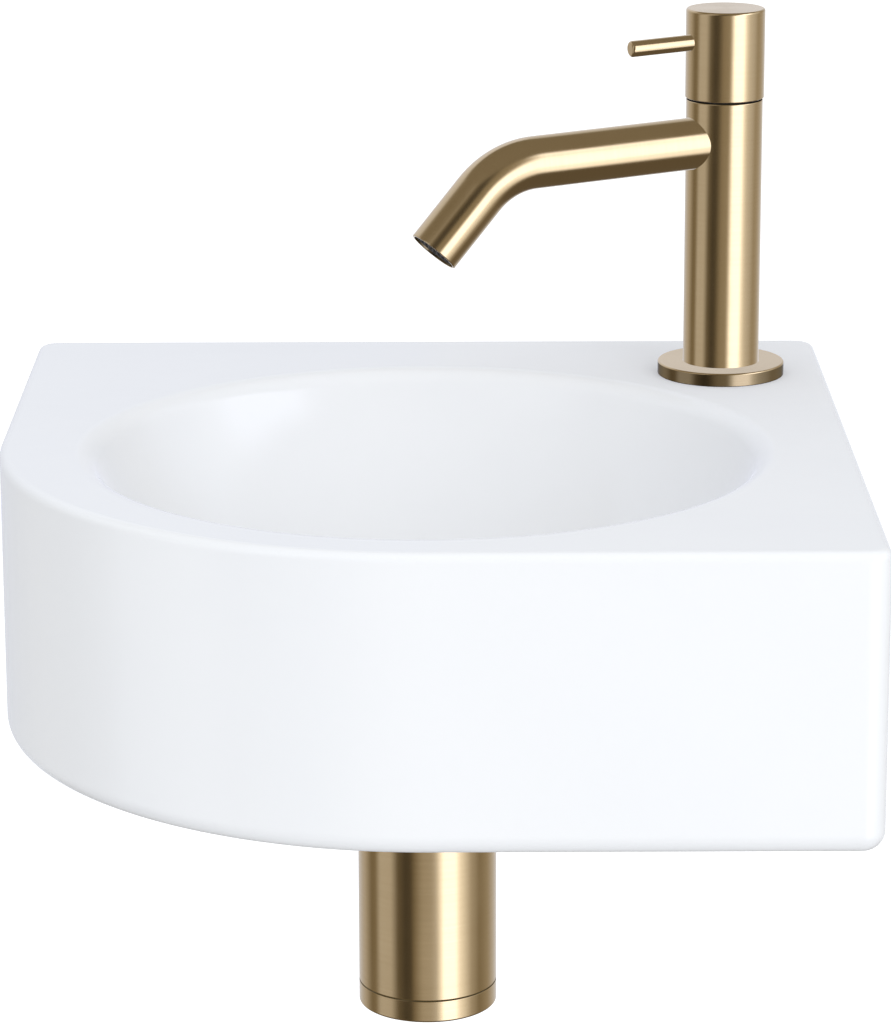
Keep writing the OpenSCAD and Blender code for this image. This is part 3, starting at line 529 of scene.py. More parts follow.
def read_out(rows: bpy.types.bpy_prop_collection, name: str, width: int = 1, kind: type = np.float32) -> Array:
    """Reads one property of every element of a mesh.

    Args:
        rows: The elements, such as mesh.vertices.
        name: Name of the property.
        width: Numbers in one element.
        kind: Type of the numbers.

    Returns:
        One number or one row for each element.
    """
    values = np.zeros(len(rows) * width, kind)
    rows.foreach_get(name, values)
    return values if width == 1 else values.reshape(-1, width)


@dataclass
class Piece:
    """A named piece of the visible object, made of one or more patches.

    Attributes:
        name: Name of the object.
        replaces: CAD nodes that it stands for.
        body: The body that it rides on.
        slot: Material slot of the record.
        sharp: Angle in degrees past which an edge is drawn sharp, where normals are left to the mesh.
        patches: Its patches.
    """

    name: str
    replaces: tuple[str, ...] = ()
    body: Body = Body.BASIN
    slot: Slot = Slot.BRUSHED_BRASS
    sharp: float = 35.0
    patches: list[Patch] = field(default_factory=list)

    def add(self, patch: Patch, placement: Matrix | None = None) -> "Piece":
        """Adds a patch, carried to its place.

        Args:
            patch: The patch.
            placement: Where it goes in mm, or None to leave it.

        Returns:
            This piece.
        """
        self.patches.append(patch if placement is None else patch.moved(placement))
        return self

    def build(self, shelf: "FinishShelf") -> bpy.types.Object:
        """Makes the mesh of all patches and its object.

        Args:
            shelf: The finishes.

        Returns:
            The finished object, at the origin, in metres.
        """
        vertices, faces, corners = [], [], []
        data: dict[str, list[Array]] = {"normals": [], BRUSH: [], BARE_AND_PAINTED_SHADE: []}
        exact = all(p.normals is not None for p in self.patches)
        first = 0
        for patch in self.patches:
            v, f, c, extra = patch.arrays()
            vertices.append(v)
            faces += [part + first for part in f]
            corners += c
            first += len(v)
            data[BRUSH].append(extra[BRUSH])
            if exact:
                data["normals"].append(extra["normals"])
            data[BARE_AND_PAINTED_SHADE].append(np.zeros(len(v)) if extra[BARE_AND_PAINTED_SHADE] is None else extra[BARE_AND_PAINTED_SHADE])
        mesh = bpy.data.meshes.new(self.name)
        mesh.from_pydata(np.concatenate(vertices) * MM, [], [row for part in faces for row in part.tolist()])
        uv = mesh.uv_layers.new(name=UV)
        loops = np.concatenate([c.reshape(-1, 2) for c in corners])
        uv.uv.foreach_set("vector", (loops * np.array([UV_SCALE, 1.0])).astype(np.float32).ravel())
        brush = mesh.attributes.new(BRUSH, "FLOAT_VECTOR", "POINT")
        brush.data.foreach_set("vector", (np.concatenate(data[BRUSH]) * MM).astype(np.float32).ravel())
        bare_and_painted_shade = mesh.attributes.new(BARE_AND_PAINTED_SHADE, "FLOAT", "POINT")
        bare_and_painted_shade.data.foreach_set("value", np.concatenate(data[BARE_AND_PAINTED_SHADE]).astype(np.float32))
        mesh.polygons.foreach_set("use_smooth", np.ones(len(mesh.polygons), bool))
        mesh.update(calc_edges=True)
        if exact:
            mesh.normals_split_custom_set_from_vertices(np.concatenate(data["normals"]).tolist())
        else:
            mesh.set_sharp_from_angle(angle=math.radians(self.sharp))
        return self.finish(mesh, shelf)

    def build_plain(self, vertices: Array, faces: list[list[int]], shelf: "FinishShelf") -> bpy.types.Object:
        """Makes the piece from vertices and faces instead of patches, with the data that the finishes read.

        Args:
            vertices: Places in mm.
            faces: Corners of each face.
            shelf: The finishes.

        Returns:
            The finished object, at the origin, in metres.
        """
        mesh = bpy.data.meshes.new(self.name)
        mesh.from_pydata(vertices * MM, [], faces)
        mesh.polygons.foreach_set("use_smooth", np.ones(len(mesh.polygons), bool))
        mesh.set_sharp_from_angle(angle=math.radians(self.sharp))
        flat = vertices[:, :2] - vertices[:, :2].mean(axis=0)
        far = np.hypot(*flat.T)
        brush = mesh.attributes.new(BRUSH, "FLOAT_VECTOR", "POINT")
        brush.data.foreach_set("vector", (np.column_stack([flat, far]) * MM).astype(np.float32).ravel())
        uv = mesh.uv_layers.new(name=UV)
        polar = np.stack([far * UV_SCALE, np.arctan2(flat[:, 1], flat[:, 0]) / FULL_TURN], axis=1)
        index = read_out(mesh.loops, "vertex_index", 1, np.int32)
        uv.uv.foreach_set("vector", polar[index].astype(np.float32).ravel())
        return self.finish(mesh, shelf)

    def finish(self, mesh: bpy.types.Mesh, shelf: "FinishShelf") -> bpy.types.Object:
        """Makes the object of a finished mesh, dresses it and tells the frame about it.

        Args:
            mesh: The mesh.
            shelf: The finishes.

        Returns:
            The object.
        """
        mesh.materials.append(shelf.new(self.slot))
        obj = bpy.data.objects.new(self.name, mesh)
        bpy.context.scene.collection.objects.link(obj)
        obj.visible_glossy = False
        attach(obj, self.body.value)
        if self.replaces:
            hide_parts(*self.replaces)
        log.info("%s: %d faces, rides on %s", self.name, len(mesh.polygons), self.body.value)
        return obj


def drilled(obj: bpy.types.Object, drills: list[tuple[Matrix, float, float]], sharp: float = 35.0) -> None:
    """Cuts round holes through a finished piece and keeps its materials and attributes.

    Args:
        obj: The piece.
        drills: For each hole its placement in mm, its radius and its length along local Z in mm.
        sharp: Angle in degrees past which an edge is drawn sharp.
    """
    cutters = []
    for place, radius, length in drills:
        rod = lathe(
            64, (0, 0, 0), (radius, 0, 0.01), (radius, length, 0.01), (0, length, 0), ends=Ends.POLES, fine=90
        )
        v, f, _, _ = rod.moved(place).arrays()
        mesh = bpy.data.meshes.new("drill")
        mesh.from_pydata(v * MM, [], [row for part in f for row in part.tolist()])
        mesh.materials.append(obj.data.materials[0])
        cutter = bpy.data.objects.new("drill", mesh)
        bpy.context.scene.collection.objects.link(cutter)
        cutters.append(cutter)
        cut = obj.modifiers.new("drill", "BOOLEAN")
        cut.operation = "DIFFERENCE"
        cut.solver = "EXACT"
        cut.object = cutter
    depsgraph = bpy.context.evaluated_depsgraph_get()
    result = bpy.data.meshes.new_from_object(
        obj.evaluated_get(depsgraph), preserve_all_data_layers=True, depsgraph=depsgraph
    )
    obj.modifiers.clear()
    old, obj.data = obj.data, result
    name = old.name
    bpy.data.meshes.remove(old)
    result.name = name
    result.set_sharp_from_angle(angle=math.radians(sharp))
    for cutter in cutters:
        mesh = cutter.data
        bpy.data.objects.remove(cutter)
        bpy.data.meshes.remove(mesh)


def pierced_plate(
    radius: float, low: float, high: float, chamfer: float, holes: Array, hole_r: float, steps: int = 20
) -> tuple[Array, list[list[int]]]:
    """A round plate with round holes, as points and triangles.

    The flat faces are Delaunay triangles between the rim circle c + r (cos t, sin t) and the hole
    circles. Each circle is carried down in four rings: chamfered in, the upper edge, the lower edge
    and chamfered out.

    Args:
        radius: Radius of the plate in mm.
        low: Height of its lower face in mm.
        high: Height of its upper face in mm.
        chamfer: Width of the bevel along all edges in mm.
        holes: Centres of the holes, one row each, in mm.
        hole_r: Radius of the holes in mm.
        steps: Number of steps round a hole.

    Returns:
        Vertices in mm and faces.
    """
    rims = [(np.zeros(2), radius, -1.0, 6 * steps)] + [(c, hole_r, 1.0, steps) for c in holes]
    flat = [c + ring_of(n, r + side * chamfer) for c, r, side, n in rims]
    edge = [c + ring_of(n, r) for c, r, _, n in rims]
    starts = np.cumsum([0] + [len(p) for p in flat])
    loops = [list(range(a, b)) for a, b in zip(starts[:-1], starts[1:])]
    edges = [(p, q) for ring in loops for p, q in zip(ring, ring[1:] + ring[:1])]
    all_flat = np.concatenate(flat)
    out = delaunay_2d_cdt([Vector(p) for p in all_flat], edges, [], 0, 1e-7)
    corners = np.array([list(p) for p in out[0]])
    triangles = np.array(out[2])
    middle = corners[triangles].mean(axis=1)
    inside = np.hypot(middle[:, 0], middle[:, 1]) < radius
    for c in holes:
        inside &= np.hypot(*(middle - c).T) > (hole_r + chamfer) * 0.99
    triangles = triangles[inside]
    total = len(corners)
    upper = np.column_stack([corners, np.full(total, high)])
    lower = np.column_stack([corners, np.full(total, low)])
    edges_xy = np.concatenate(edge)
    edge_high = np.column_stack([edges_xy, np.full(len(edges_xy), high - chamfer)])
    edge_low = np.column_stack([edges_xy, np.full(len(edges_xy), low + chamfer)])
    vertices = np.concatenate([upper, lower, edge_high, edge_low])
    faces = [list(f) for f in triangles] + [[f[2] + total, f[1] + total, f[0] + total] for f in triangles.tolist()]
    for number, ring in enumerate(loops):
        a = np.array(ring)
        b = np.roll(a, -1)
        rings = (0, 2 * total, 2 * total + len(edges_xy), total)
        for above, below in zip(rings, rings[1:]):
            p, q, p2, q2 = a + below, a + above, b + below, b + above
            quads = np.stack([p, p2, q2, q], axis=1) if number == 0 else np.stack([p2, p, q, q2], axis=1)
            faces += quads.tolist()
    return vertices, faces


# Finishes


class NodeBench:
    """Lays out the nodes of one tree."""

    def __init__(self, owner: bpy.types.Material | bpy.types.World) -> None:
        """Empties the tree of a material or world.

        Args:
            owner: The material or world.
        """
        owner.use_nodes = True
        self.tree = owner.node_tree
        self.tree.nodes.clear()

    def node(self, kind: str, **values: object) -> bpy.types.Node:
        """Adds a node and sets its own properties.

        Args:
            kind: Blender's name of the node.
            **values: Properties to set.

        Returns:
            The node.
        """
        made = self.tree.nodes.new(kind)
        for key, value in values.items():
            setattr(made, key, value)
        return made

    def finish(self, shader: Socket, kind: str = "ShaderNodeOutputMaterial") -> None:
        """Leads a shader to the tree's output."""
        self.put(shader, self.node(kind).inputs[0])

    def put(self, value: Socket | float | Colour, into: Socket) -> None:
        """Links a socket into an input, or sets the input to a number or colour."""
        if isinstance(value, Socket):
            self.tree.links.new(value, into)
        else:
            into.default_value = (*value, 1.0) if isinstance(value, tuple) else value

    def fill(self, node: bpy.types.Node, values: dict[str | int, Socket | float | Colour]) -> None:
        """Puts values into a node's inputs, which are given by name or number."""
        for key, value in values.items():
            self.put(value, node.inputs[key])

    def made(self, kind: str, *values: Socket | float | Colour, **properties: object) -> Socket:
        """Adds a node and fills its first inputs in order.

        Args:
            kind: Blender's name of the node.
            *values: Sockets, numbers or colours for its inputs.
            **properties: Properties to set.

        Returns:
            Its first output.
        """
        made = self.node(kind, **properties)
        self.fill(made, dict(enumerate(values)))
        return made.outputs[0]

    def number(self, operation: str, *values: Socket | float) -> Socket:
        """The result of a math operation on sockets or numbers."""
        return self.made("ShaderNodeMath", *values, operation=operation)

    def blend(self, share: Socket, a: Socket | Colour, b: Socket | Colour) -> Socket:
        """Mixes two colours by a share.

        Args:
            share: Value socket from 0 to 1.
            a: Colour or socket at 0.
            b: Colour or socket at 1.

        Returns:
            The colour socket.
        """
        made = self.node("ShaderNodeMix", data_type="RGBA")
        self.fill(made, {0: share, 6: a, 7: b})
        return made.outputs[2]

    def spread(
        self, value: Socket, low: float, high: float, start: float = 0.3, end: float = 0.7, kind: str = "LINEAR"
    ) -> Socket:
        """Spreads a value that runs from start to end over low to high.

        Args:
            value: Value socket.
            low: Result at the start and before it.
            high: Result at the end and past it.
            start: Where the spread starts.
            end: Where it ends.
            kind: LINEAR, or SMOOTHSTEP for a soft start and end.

        Returns:
            The value socket.
        """
        made = self.node("ShaderNodeMapRange", interpolation_type=kind)
        self.fill(made, {"Value": value, "From Min": start, "From Max": end, "To Min": low, "To Max": high})
        return made.outputs[0]


class FinishBench(NodeBench):
    """Lays out the nodes of one material round its shader."""

    def __init__(self, name: str) -> None:
        """Starts a material with its shader and output.

        Args:
            name: Name of the material.
        """
        self.material = bpy.data.materials.new(name)
        super().__init__(self.material)
        self.shader = self.node("ShaderNodeBsdfPrincipled")
        self.finish(self.shader.outputs[0])

    def bare_and_painted_shade(self) -> Socket:
        """The mark that a piece carries, from 0 to 1: the unglazed body on the ceramic, and painted shade on metal in
        seams, gaps, recesses and contact lines.
        """
        return self.node("ShaderNodeAttribute", attribute_name=BARE_AND_PAINTED_SHADE).outputs["Fac"]

    def coordinates(self, scale: tuple[float, float, float], brush: bool) -> Socket:
        """Scaled places to read a pattern at.

        Args:
            scale: Factor along each axis.
            brush: True for the straightened piece's own attribute, False for Object coordinates.

        Returns:
            The vector socket.
        """
        if brush:
            source = self.node("ShaderNodeAttribute", attribute_name=BRUSH).outputs["Vector"]
        else:
            source = self.node("ShaderNodeTexCoord").outputs["Object"]
        mapping = self.node("ShaderNodeMapping")
        mapping.inputs["Scale"].default_value = scale
        self.put(source, mapping.inputs["Vector"])
        return mapping.outputs["Vector"]

    def noise(self, where: Socket, scale: float, detail: float = 2.0, rough: float = 0.5) -> Socket:
        """A noise pattern.

        Args:
            where: Places to read it at.
            scale: Its scale.
            detail: Number of finer layers.
            rough: Strength of the finer layers.

        Returns:
            The value socket, from 0 to 1.
        """
        made = self.node("ShaderNodeTexNoise")
        self.fill(made, {"Vector": where, "Scale": scale, "Detail": detail, "Roughness": rough})
        return made.outputs[0]

    def bump(self, height: Socket, distance: float, strength: float, before: Socket | None = None) -> Socket:
        """A bump of a real depth.

        Args:
            height: Value socket from 0 to 1.
            distance: Depth in metres.
            strength: Share of it that shows.
            before: Normal that it lies on, or None.

        Returns:
            The normal socket.
        """
        made = self.node("ShaderNodeBump")
        self.fill(made, {"Distance": distance, "Strength": strength, "Height": height})
        if before is not None:
            self.put(before, made.inputs["Normal"])
        return made.outputs[0]


@dataclass(frozen=True)
class GlazedCeramic:
    """White glaze on a fired body, with the unglazed body where the glaze stops."""

    name: str = "glazed_ceramic"
    light: Colour = (0.862, 0.875, 0.902)
    deep: Colour = (0.848, 0.862, 0.892)
    bisque: Colour = (0.70, 0.66, 0.60)

    def material(self) -> bpy.types.Material:
        """Makes the material."""
        bench = FinishBench(self.name)
        where = bench.coordinates((1.0, 1.0, 1.0), brush=False)
        cloud = bench.noise(where, 14.0, 3.0)
        glaze = bench.blend(bench.spread(cloud, 0.0, 1.0), self.light, self.deep)
        grain = bench.noise(where, 900.0, 4.0, 0.6)
        body = bench.blend(bench.spread(grain, 0.0, 1.0), self.bisque, tuple(0.86 * c for c in self.bisque))
        ragged = bench.number("MULTIPLY_ADD", bench.noise(where, 160.0, 3.0), 0.5, bench.bare_and_painted_shade())
        share = bench.spread(ragged, 0.0, 1.0, 0.72, 0.8)
        gloss = bench.spread(bench.noise(where, 38.0, 3.0), 0.07, 0.12)
        rough = bench.node("ShaderNodeMix", data_type="FLOAT")
        bench.fill(rough, {0: share, 2: gloss, 3: 0.85})
        wavy = bench.bump(bench.noise(where, 70.0, 1.0), 0.00006, 0.5)
        bench.fill(bench.shader, {
            "Base Color": bench.blend(share, glaze, body),
            "Roughness": rough.outputs[0],
            "IOR": 1.52,
            "Normal": bench.bump(grain, 0.000012, 0.35, wavy),
        })
        return bench.material


@dataclass(frozen=True)
class BrushedMetal:
    """Metal with fine lines left by brushing or turning round the piece, darkened by painted shade where a piece is
    marked.

    Attributes:
        name: Name of the material.
        colour: Colour of the metal.
        shade: Colour in the deeper lines.
        smooth: Lowest roughness.
        rough: Highest roughness.
        lines: Lines for each metre along the piece.
        depth: Depth of the lines in metres.
        stretch: How far reflections are drawn out across the lines, from 0 to 1.
        dim: Brightness of the painted shade where a piece is marked, as a share of the shade colour.
    """

    name: str
    colour: Colour
    shade: Colour
    smooth: float = 0.13
    rough: float = 0.19
    lines: float = 9000.0
    depth: float = 0.0000012
    stretch: float = 0.6
    dim: float = 0.14

    def material(self) -> bpy.types.Material:
        """Makes the material."""
        bench = FinishBench(self.name)
        fine = bench.noise(bench.coordinates((22.0, 22.0, self.lines), brush=True), 1.0, 3.0, 0.6)
        broad = bench.noise(bench.coordinates((9.0, 9.0, self.lines / 7.0), brush=True), 1.0, 2.0)
        smudge = bench.noise(bench.coordinates((1.0, 1.0, 1.0), brush=False), 55.0, 3.0)
        tint = bench.blend(bench.spread(fine, 0.0, 1.0), self.colour, self.shade)
        tint = bench.blend(bench.spread(broad, 0.0, 0.25), tint, self.shade)
        # Painted shade: where the mark is set, the base colour falls to dim times the shade and the edge tint to
        # black, darkening seams, gaps and recesses
        bare_and_painted_shade = bench.bare_and_painted_shade()
        rough = bench.spread(fine, self.smooth, self.rough)
        bench.fill(bench.shader, {
            "Base Color": bench.blend(bare_and_painted_shade, tint, tuple(self.dim * c for c in self.shade)),
            "Specular Tint": bench.blend(bare_and_painted_shade, (1.0, 1.0, 1.0), (0.0, 0.0, 0.0)),
            "Metallic": 1.0,
            "Roughness": bench.number("ADD", rough, bench.spread(smudge, -0.02, 0.03)),
            "Anisotropic": self.stretch,
            "Tangent": bench.made("ShaderNodeTangent", direction_type="UV_MAP", uv_map=UV),
            "Normal": bench.bump(fine, self.depth, 0.5),
        })
        return bench.material


@dataclass(frozen=True)
class Moulded:
    """Rubber, plastic or ground ceramic with a fine even grain.

    Attributes:
        name: Name of the material.
        colour: Colour of the surface.
        shade: Colour in the hollows of the grain.
        smooth: Lowest roughness.
        rough: Highest roughness.
        grain: Scale of the grain.
        depth: Depth of the grain in metres.
        gleam: Level of the mirror-like reflection, 0.5 for common plastic.
    """

    name: str
    colour: Colour
    shade: Colour
    smooth: float
    rough: float
    grain: float = 1400.0
    depth: float = 0.00001
    gleam: float = 0.5

    def material(self) -> bpy.types.Material:
        """Makes the material."""
        bench = FinishBench(self.name)
        where = bench.coordinates((1.0, 1.0, 1.0), brush=False)
        fine = bench.noise(where, self.grain, 3.0, 0.6)
        patchy = bench.noise(where, 60.0, 2.0)
        tint = bench.blend(bench.spread(fine, 0.0, 1.0), self.colour, self.shade)
        tint = bench.blend(bench.spread(patchy, 0.0, 0.3), tint, self.shade)
        bench.fill(bench.shader, {
            "Base Color": tint,
            "Roughness": bench.spread(patchy, self.smooth, self.rough),
            "Specular IOR Level": self.gleam,
            "Normal": bench.bump(fine, self.depth, 0.6),
        })
        return bench.material


@dataclass(frozen=True)
class CarriedMetal(BrushedMetal):
    """The same metal for solids carried over from the frame, which have no brushing attribute."""

    def material(self) -> bpy.types.Material:
        """Makes the material from Object coordinates alone."""
        bench = FinishBench(self.name)
        where = bench.coordinates((40.0, 40.0, self.lines / 2.0), brush=False)
        fine = bench.noise(where, 1.0, 3.0, 0.6)
        tint = bench.blend(bench.spread(fine, 0.0, 1.0), self.colour, self.shade)
        bench.fill(bench.shader, {
            "Base Color": tint,
            "Metallic": 1.0,
            "Roughness": bench.spread(fine, self.smooth, self.rough),
            "Normal": bench.bump(fine, self.depth, 0.5),
        })
        return bench.material


class FinishShelf:
    """Makes each finish once and hands it out by slot."""

    def __init__(self) -> None:
        """Makes the finishes of the new pieces and of the carried solids."""
        gold, gold_deep = (0.76, 0.60, 0.38), (0.71, 0.545, 0.33)
        raw, raw_deep = (0.78, 0.58, 0.29), (0.66, 0.46, 0.2)
        steel, steel_deep = (0.58, 0.58, 0.59), (0.45, 0.45, 0.46)
        self.made = {
            Slot.CERAMIC: GlazedCeramic().material(),
            Slot.BRUSHED_BRASS: BrushedMetal("brushed_brass", gold, gold_deep).material(),
            Slot.TURNED_BRASS: BrushedMetal(
                "turned_brass", raw, raw_deep, smooth=0.18, rough=0.34, lines=1500.0, depth=0.00001, stretch=0.5
            ).material(),
        }
        rubber, white, dark, ground = (
            Moulded(name, colour, shade, smooth, rough, gleam=gleam).material()
            for name, colour, shade, smooth, rough, gleam in (
                ("black_rubber", (0.02, 0.02, 0.022), (0.012, 0.012, 0.013), 0.5, 0.68, 0.5),
                ("white_plastic", (0.76, 0.76, 0.75), (0.7, 0.7, 0.69), 0.35, 0.5, 0.5),
                ("dark_plastic", (0.032, 0.027, 0.022), (0.018, 0.015, 0.013), 0.4, 0.6, 0.08),
                ("ground_ceramic", (0.84, 0.81, 0.74), (0.8, 0.77, 0.7), 0.2, 0.3, 0.5),
            )
        )
        self.carried = {
            Slot.CERAMIC: self.made[Slot.CERAMIC],
            Slot.BRUSHED_BRASS: CarriedMetal("carried_brushed_brass", gold, gold_deep).material(),
            Slot.TURNED_BRASS: CarriedMetal(
                "carried_turned_brass", raw, raw_deep, smooth=0.2, rough=0.36, lines=1500.0, depth=0.00001
            ).material(),
            Slot.BLACK_RUBBER: rubber,
            Slot.WHITE_PLASTIC: white,
            Slot.DARK_PLASTIC: dark,
            Slot.DISC_CERAMIC: ground,
            Slot.SCREW_STEEL: CarriedMetal(
                "screw_steel", steel, steel_deep, smooth=0.25, rough=0.4, lines=1200.0, depth=0.000008
            ).material(),
        }

    def new(self, slot: Slot) -> bpy.types.Material:
        """The finish of a new piece."""
        return self.made.get(slot, self.carried[slot])

    def dress_carried(self, frame: dict) -> None:
        """Gives every solid carried over from the frame its finish.
        """
        slots = {part["node"]: part["material_slot"] for part in frame["record"]["subparts"]}
        for name, obj in frame["nodes"].items():
            material = self.carried[Slot(slots[name])]
            obj.data.materials.clear()
            obj.data.materials.append(material)
            obj.visible_glossy = False
        log.info("dressed %d carried solids", len(slots))


# The ceramic basin


@dataclass
class CeramicBasin:
    """The wall hung ceramic basin. Sizes in mm, heights from the rim.

    The back face and the foot carry no glaze within bare_back and bare_foot of their planes. When
    samples are spread round an outline, a bend of one radian counts as bend_weight of length.
    """

    rim: float = 60.0
    width: float = 302.0
    depth: float = 308.0
    height: float = 103.5
    corner_r: float = 152.0
    small_r: float = 8.0
    top_edge: float = 3.0
    lower_edge: float = 7.0
    skirt: float = 12.0
    back: float = 18.0
    deck: float = 15.0
    inner_edge: float = 3.0
    hollow_corner: float = 10.0
    bowl_y: float = -168.0
    bowl_r: float = 124.0
    bowl_depth: float = 78.0
    bowl_wall: float = 11.0
    lip_r: float = 9.0
    seat_r: float = 33.5
    seat_z: float = -80.0
    hole_r: float = 23.0
    boss_r: float = 40.0
    boss_z: float = -92.0
    soft: float = 2.0
    tap_hole: tuple[float, float] = (111.4, -56.4)
    tap_hole_r: float = 17.5
    wall_hole_x: float = 75.0
    wall_hole_r: float = 7.0
    bare_back: float = 0.6
    bare_foot: float = 0.35
    bend_weight: float = 9.0
    arc_points: int = 241
    columns: int = 560
    hollow_samples: int = 6000

    def outline(self) -> tuple[Array, Array]:
        """The outline in plan, walked counter-clockwise, with shorter steps where it bends.

        Each corner is an arc centre + r (cos t, sin t), and the sides are straight between them.

        Returns:
            Places and outward directions, in order.
        """
        half, big, small = self.width / 2.0, self.corner_r, self.small_r
        arcs = [
            (half - small, -small, small, 0.0),
            (small - half, -small, small, 90.0),
            (big - half, big - self.depth, big, 180.0),
            (half - small, small - self.depth, small, 270.0),
        ]
        return self._walk(arcs, self.columns)

    def hollow(self) -> tuple[Array, Array]:
        """The hollow's outline in plan, dense enough to be read at any angle."""
        left, right = self.skirt - self.width / 2.0, self.width / 2.0 - self.skirt
        front, r = self.skirt - self.depth, self.hollow_corner
        arcs = [
            (right - r, -self.back - r, r, 0.0),
            (left + r, -self.back - r, r, 90.0),
            (self.corner_r - self.width / 2.0, self.corner_r - self.depth, self.corner_r - self.skirt, 180.0),
            (right - r, front + r, r, 270.0),
        ]
        return self._walk(arcs, self.hollow_samples)

    def _walk(self, arcs: list[tuple[float, float, float, float]], count: int) -> tuple[Array, Array]:
        """Samples an outline of quarter arcs joined by straight sides.

        Args:
            arcs: Centre x, centre y, radius and start angle in degrees of each quarter arc, in order.
            count: Number of samples.

        Returns:
            Places and outward directions.
        """
        places, normals = [], []
        for x, y, r, start in arcs:
            t = np.radians(np.linspace(start, start + 90.0, self.arc_points))
            out = np.stack([np.cos(t), np.sin(t)], axis=1)
            places.append(np.array([x, y]) + r * out)
            normals.append(out)
        place, normal = np.concatenate(places), np.concatenate(normals)
        place, normal = np.vstack([place, place[:1]]), np.vstack([normal, normal[:1]])
        step = np.linalg.norm(np.diff(place, axis=0), axis=1)
        bend = np.linalg.norm(np.diff(normal, axis=0), axis=1)
        path = walked(step + self.bend_weight * bend)
        at = np.linspace(0.0, path[-1], count, endpoint=False)
        place = np.stack([np.interp(at, path, place[:, k]) for k in range(2)], axis=1)
        normal = np.stack([np.interp(at, path, normal[:, k]) for k in range(2)], axis=1)
        return place, normal / np.linalg.norm(normal, axis=1)[:, None]

    def grid(self) -> Patch:
        """The whole basin as one closed grid.

        Every column is a section through the ceramic in one direction from the bowl's axis. Rows run up
        the outside, over the rim, across the deck, down the bowl, through the waste hole, back up the
        bowl's outside and down the inside of the skirt. Sloping rows lie on spheres z = c - sqrt(R^2 - r^2),
        edges on arcs, and inner corners on the curve (1-s)^2 A + 2 s (1-s) C + s^2 B.

        Returns:
            The patch, heights from the origin.
        """
        outer, out = self.outline()
        centre = np.array([0.0, self.bowl_y])
        angle = np.arctan2(outer[:, 1] - self.bowl_y, outer[:, 0])
        spoke = np.stack([np.cos(angle), np.sin(angle)], axis=1)
        h_place, h_out = self.hollow()
        h_angle = np.arctan2(h_place[:, 1] - self.bowl_y, h_place[:, 0])
        order = np.argsort(h_angle)
        keys = h_angle[order]
        reach = np.linalg.norm(h_place - centre, axis=1)[order]
        inner = centre + spoke * np.interp(angle, keys, reach, period=FULL_TURN)[:, None]
        inward = np.stack([np.interp(angle, keys, h_out[order, k], period=FULL_TURN) for k in range(2)], axis=1)
        rows: list[Array] = []

        def put(plan: Array, z: float) -> None:
            """Adds one row at the height z."""
            rows.append(np.column_stack([plan, np.full(len(plan), z)]))

        def ring(r: float, z: float) -> None:
            """Adds one row on a circle round the bowl's axis."""
            put(centre + spoke * r, z)

        def inset(d: float, z: float) -> None:
            """Adds one row a distance inside the outline."""
            put(outer - out * d, z)

        def curve(a: Array, corner: Array, b: Array, steps: int) -> None:
            """Adds rings on the soft corner between two points of the section."""
            for s in np.linspace(0.0, 1.0, steps + 1):
                p = soft_corner(a, corner, b, s)
                ring(float(p[0]), float(p[1]))

        low, edge, lower = -self.height, self.inner_edge, self.lower_edge
        for f in np.radians(np.linspace(0.0, 90.0, 5)):
            put(inner + inward * edge * (1 - math.cos(f)), low + edge * (1 - math.sin(f)))
        put(0.9 * (inner + inward * edge) + 0.1 * (outer - out * lower), low)
        put(0.1 * (inner + inward * edge) + 0.9 * (outer - out * lower), low)
        for f in np.radians(np.linspace(0.0, 90.0, 9)):
            inset(lower * (1 - math.sin(f)), low + lower * (1 - math.cos(f)))
        wall = np.linspace(low + lower + 6.0, -self.top_edge - 5.0, 8)
        for z in (low + lower + 0.8, *wall, -self.top_edge - 0.6):
            inset(0.0, float(z))
        for f in np.radians(np.linspace(0.0, 90.0, 7)):
            inset(self.top_edge * (1 - math.cos(f)), self.top_edge * (math.sin(f) - 1))
        rim_in, rim_out = outer - out * self.top_edge, centre + spoke * self.bowl_r
        for w in (0.03, 0.2, 0.45, 0.7, 0.9, 0.975):
            put((1 - w) * rim_in + w * rim_out, 0.0)
        reach_r = (self.bowl_r**2 + self.bowl_depth**2) / (2 * self.bowl_depth)
        dish_r = reach_r - self.lip_r
        dish_z = dish_r - self.bowl_depth

        def on_sphere(r: float, f: float) -> Array:
            """Radius and height on a sphere round the dish's centre, at the angle f from its lowest point."""
            return np.array([r * math.sin(f), dish_z - r * math.cos(f)])

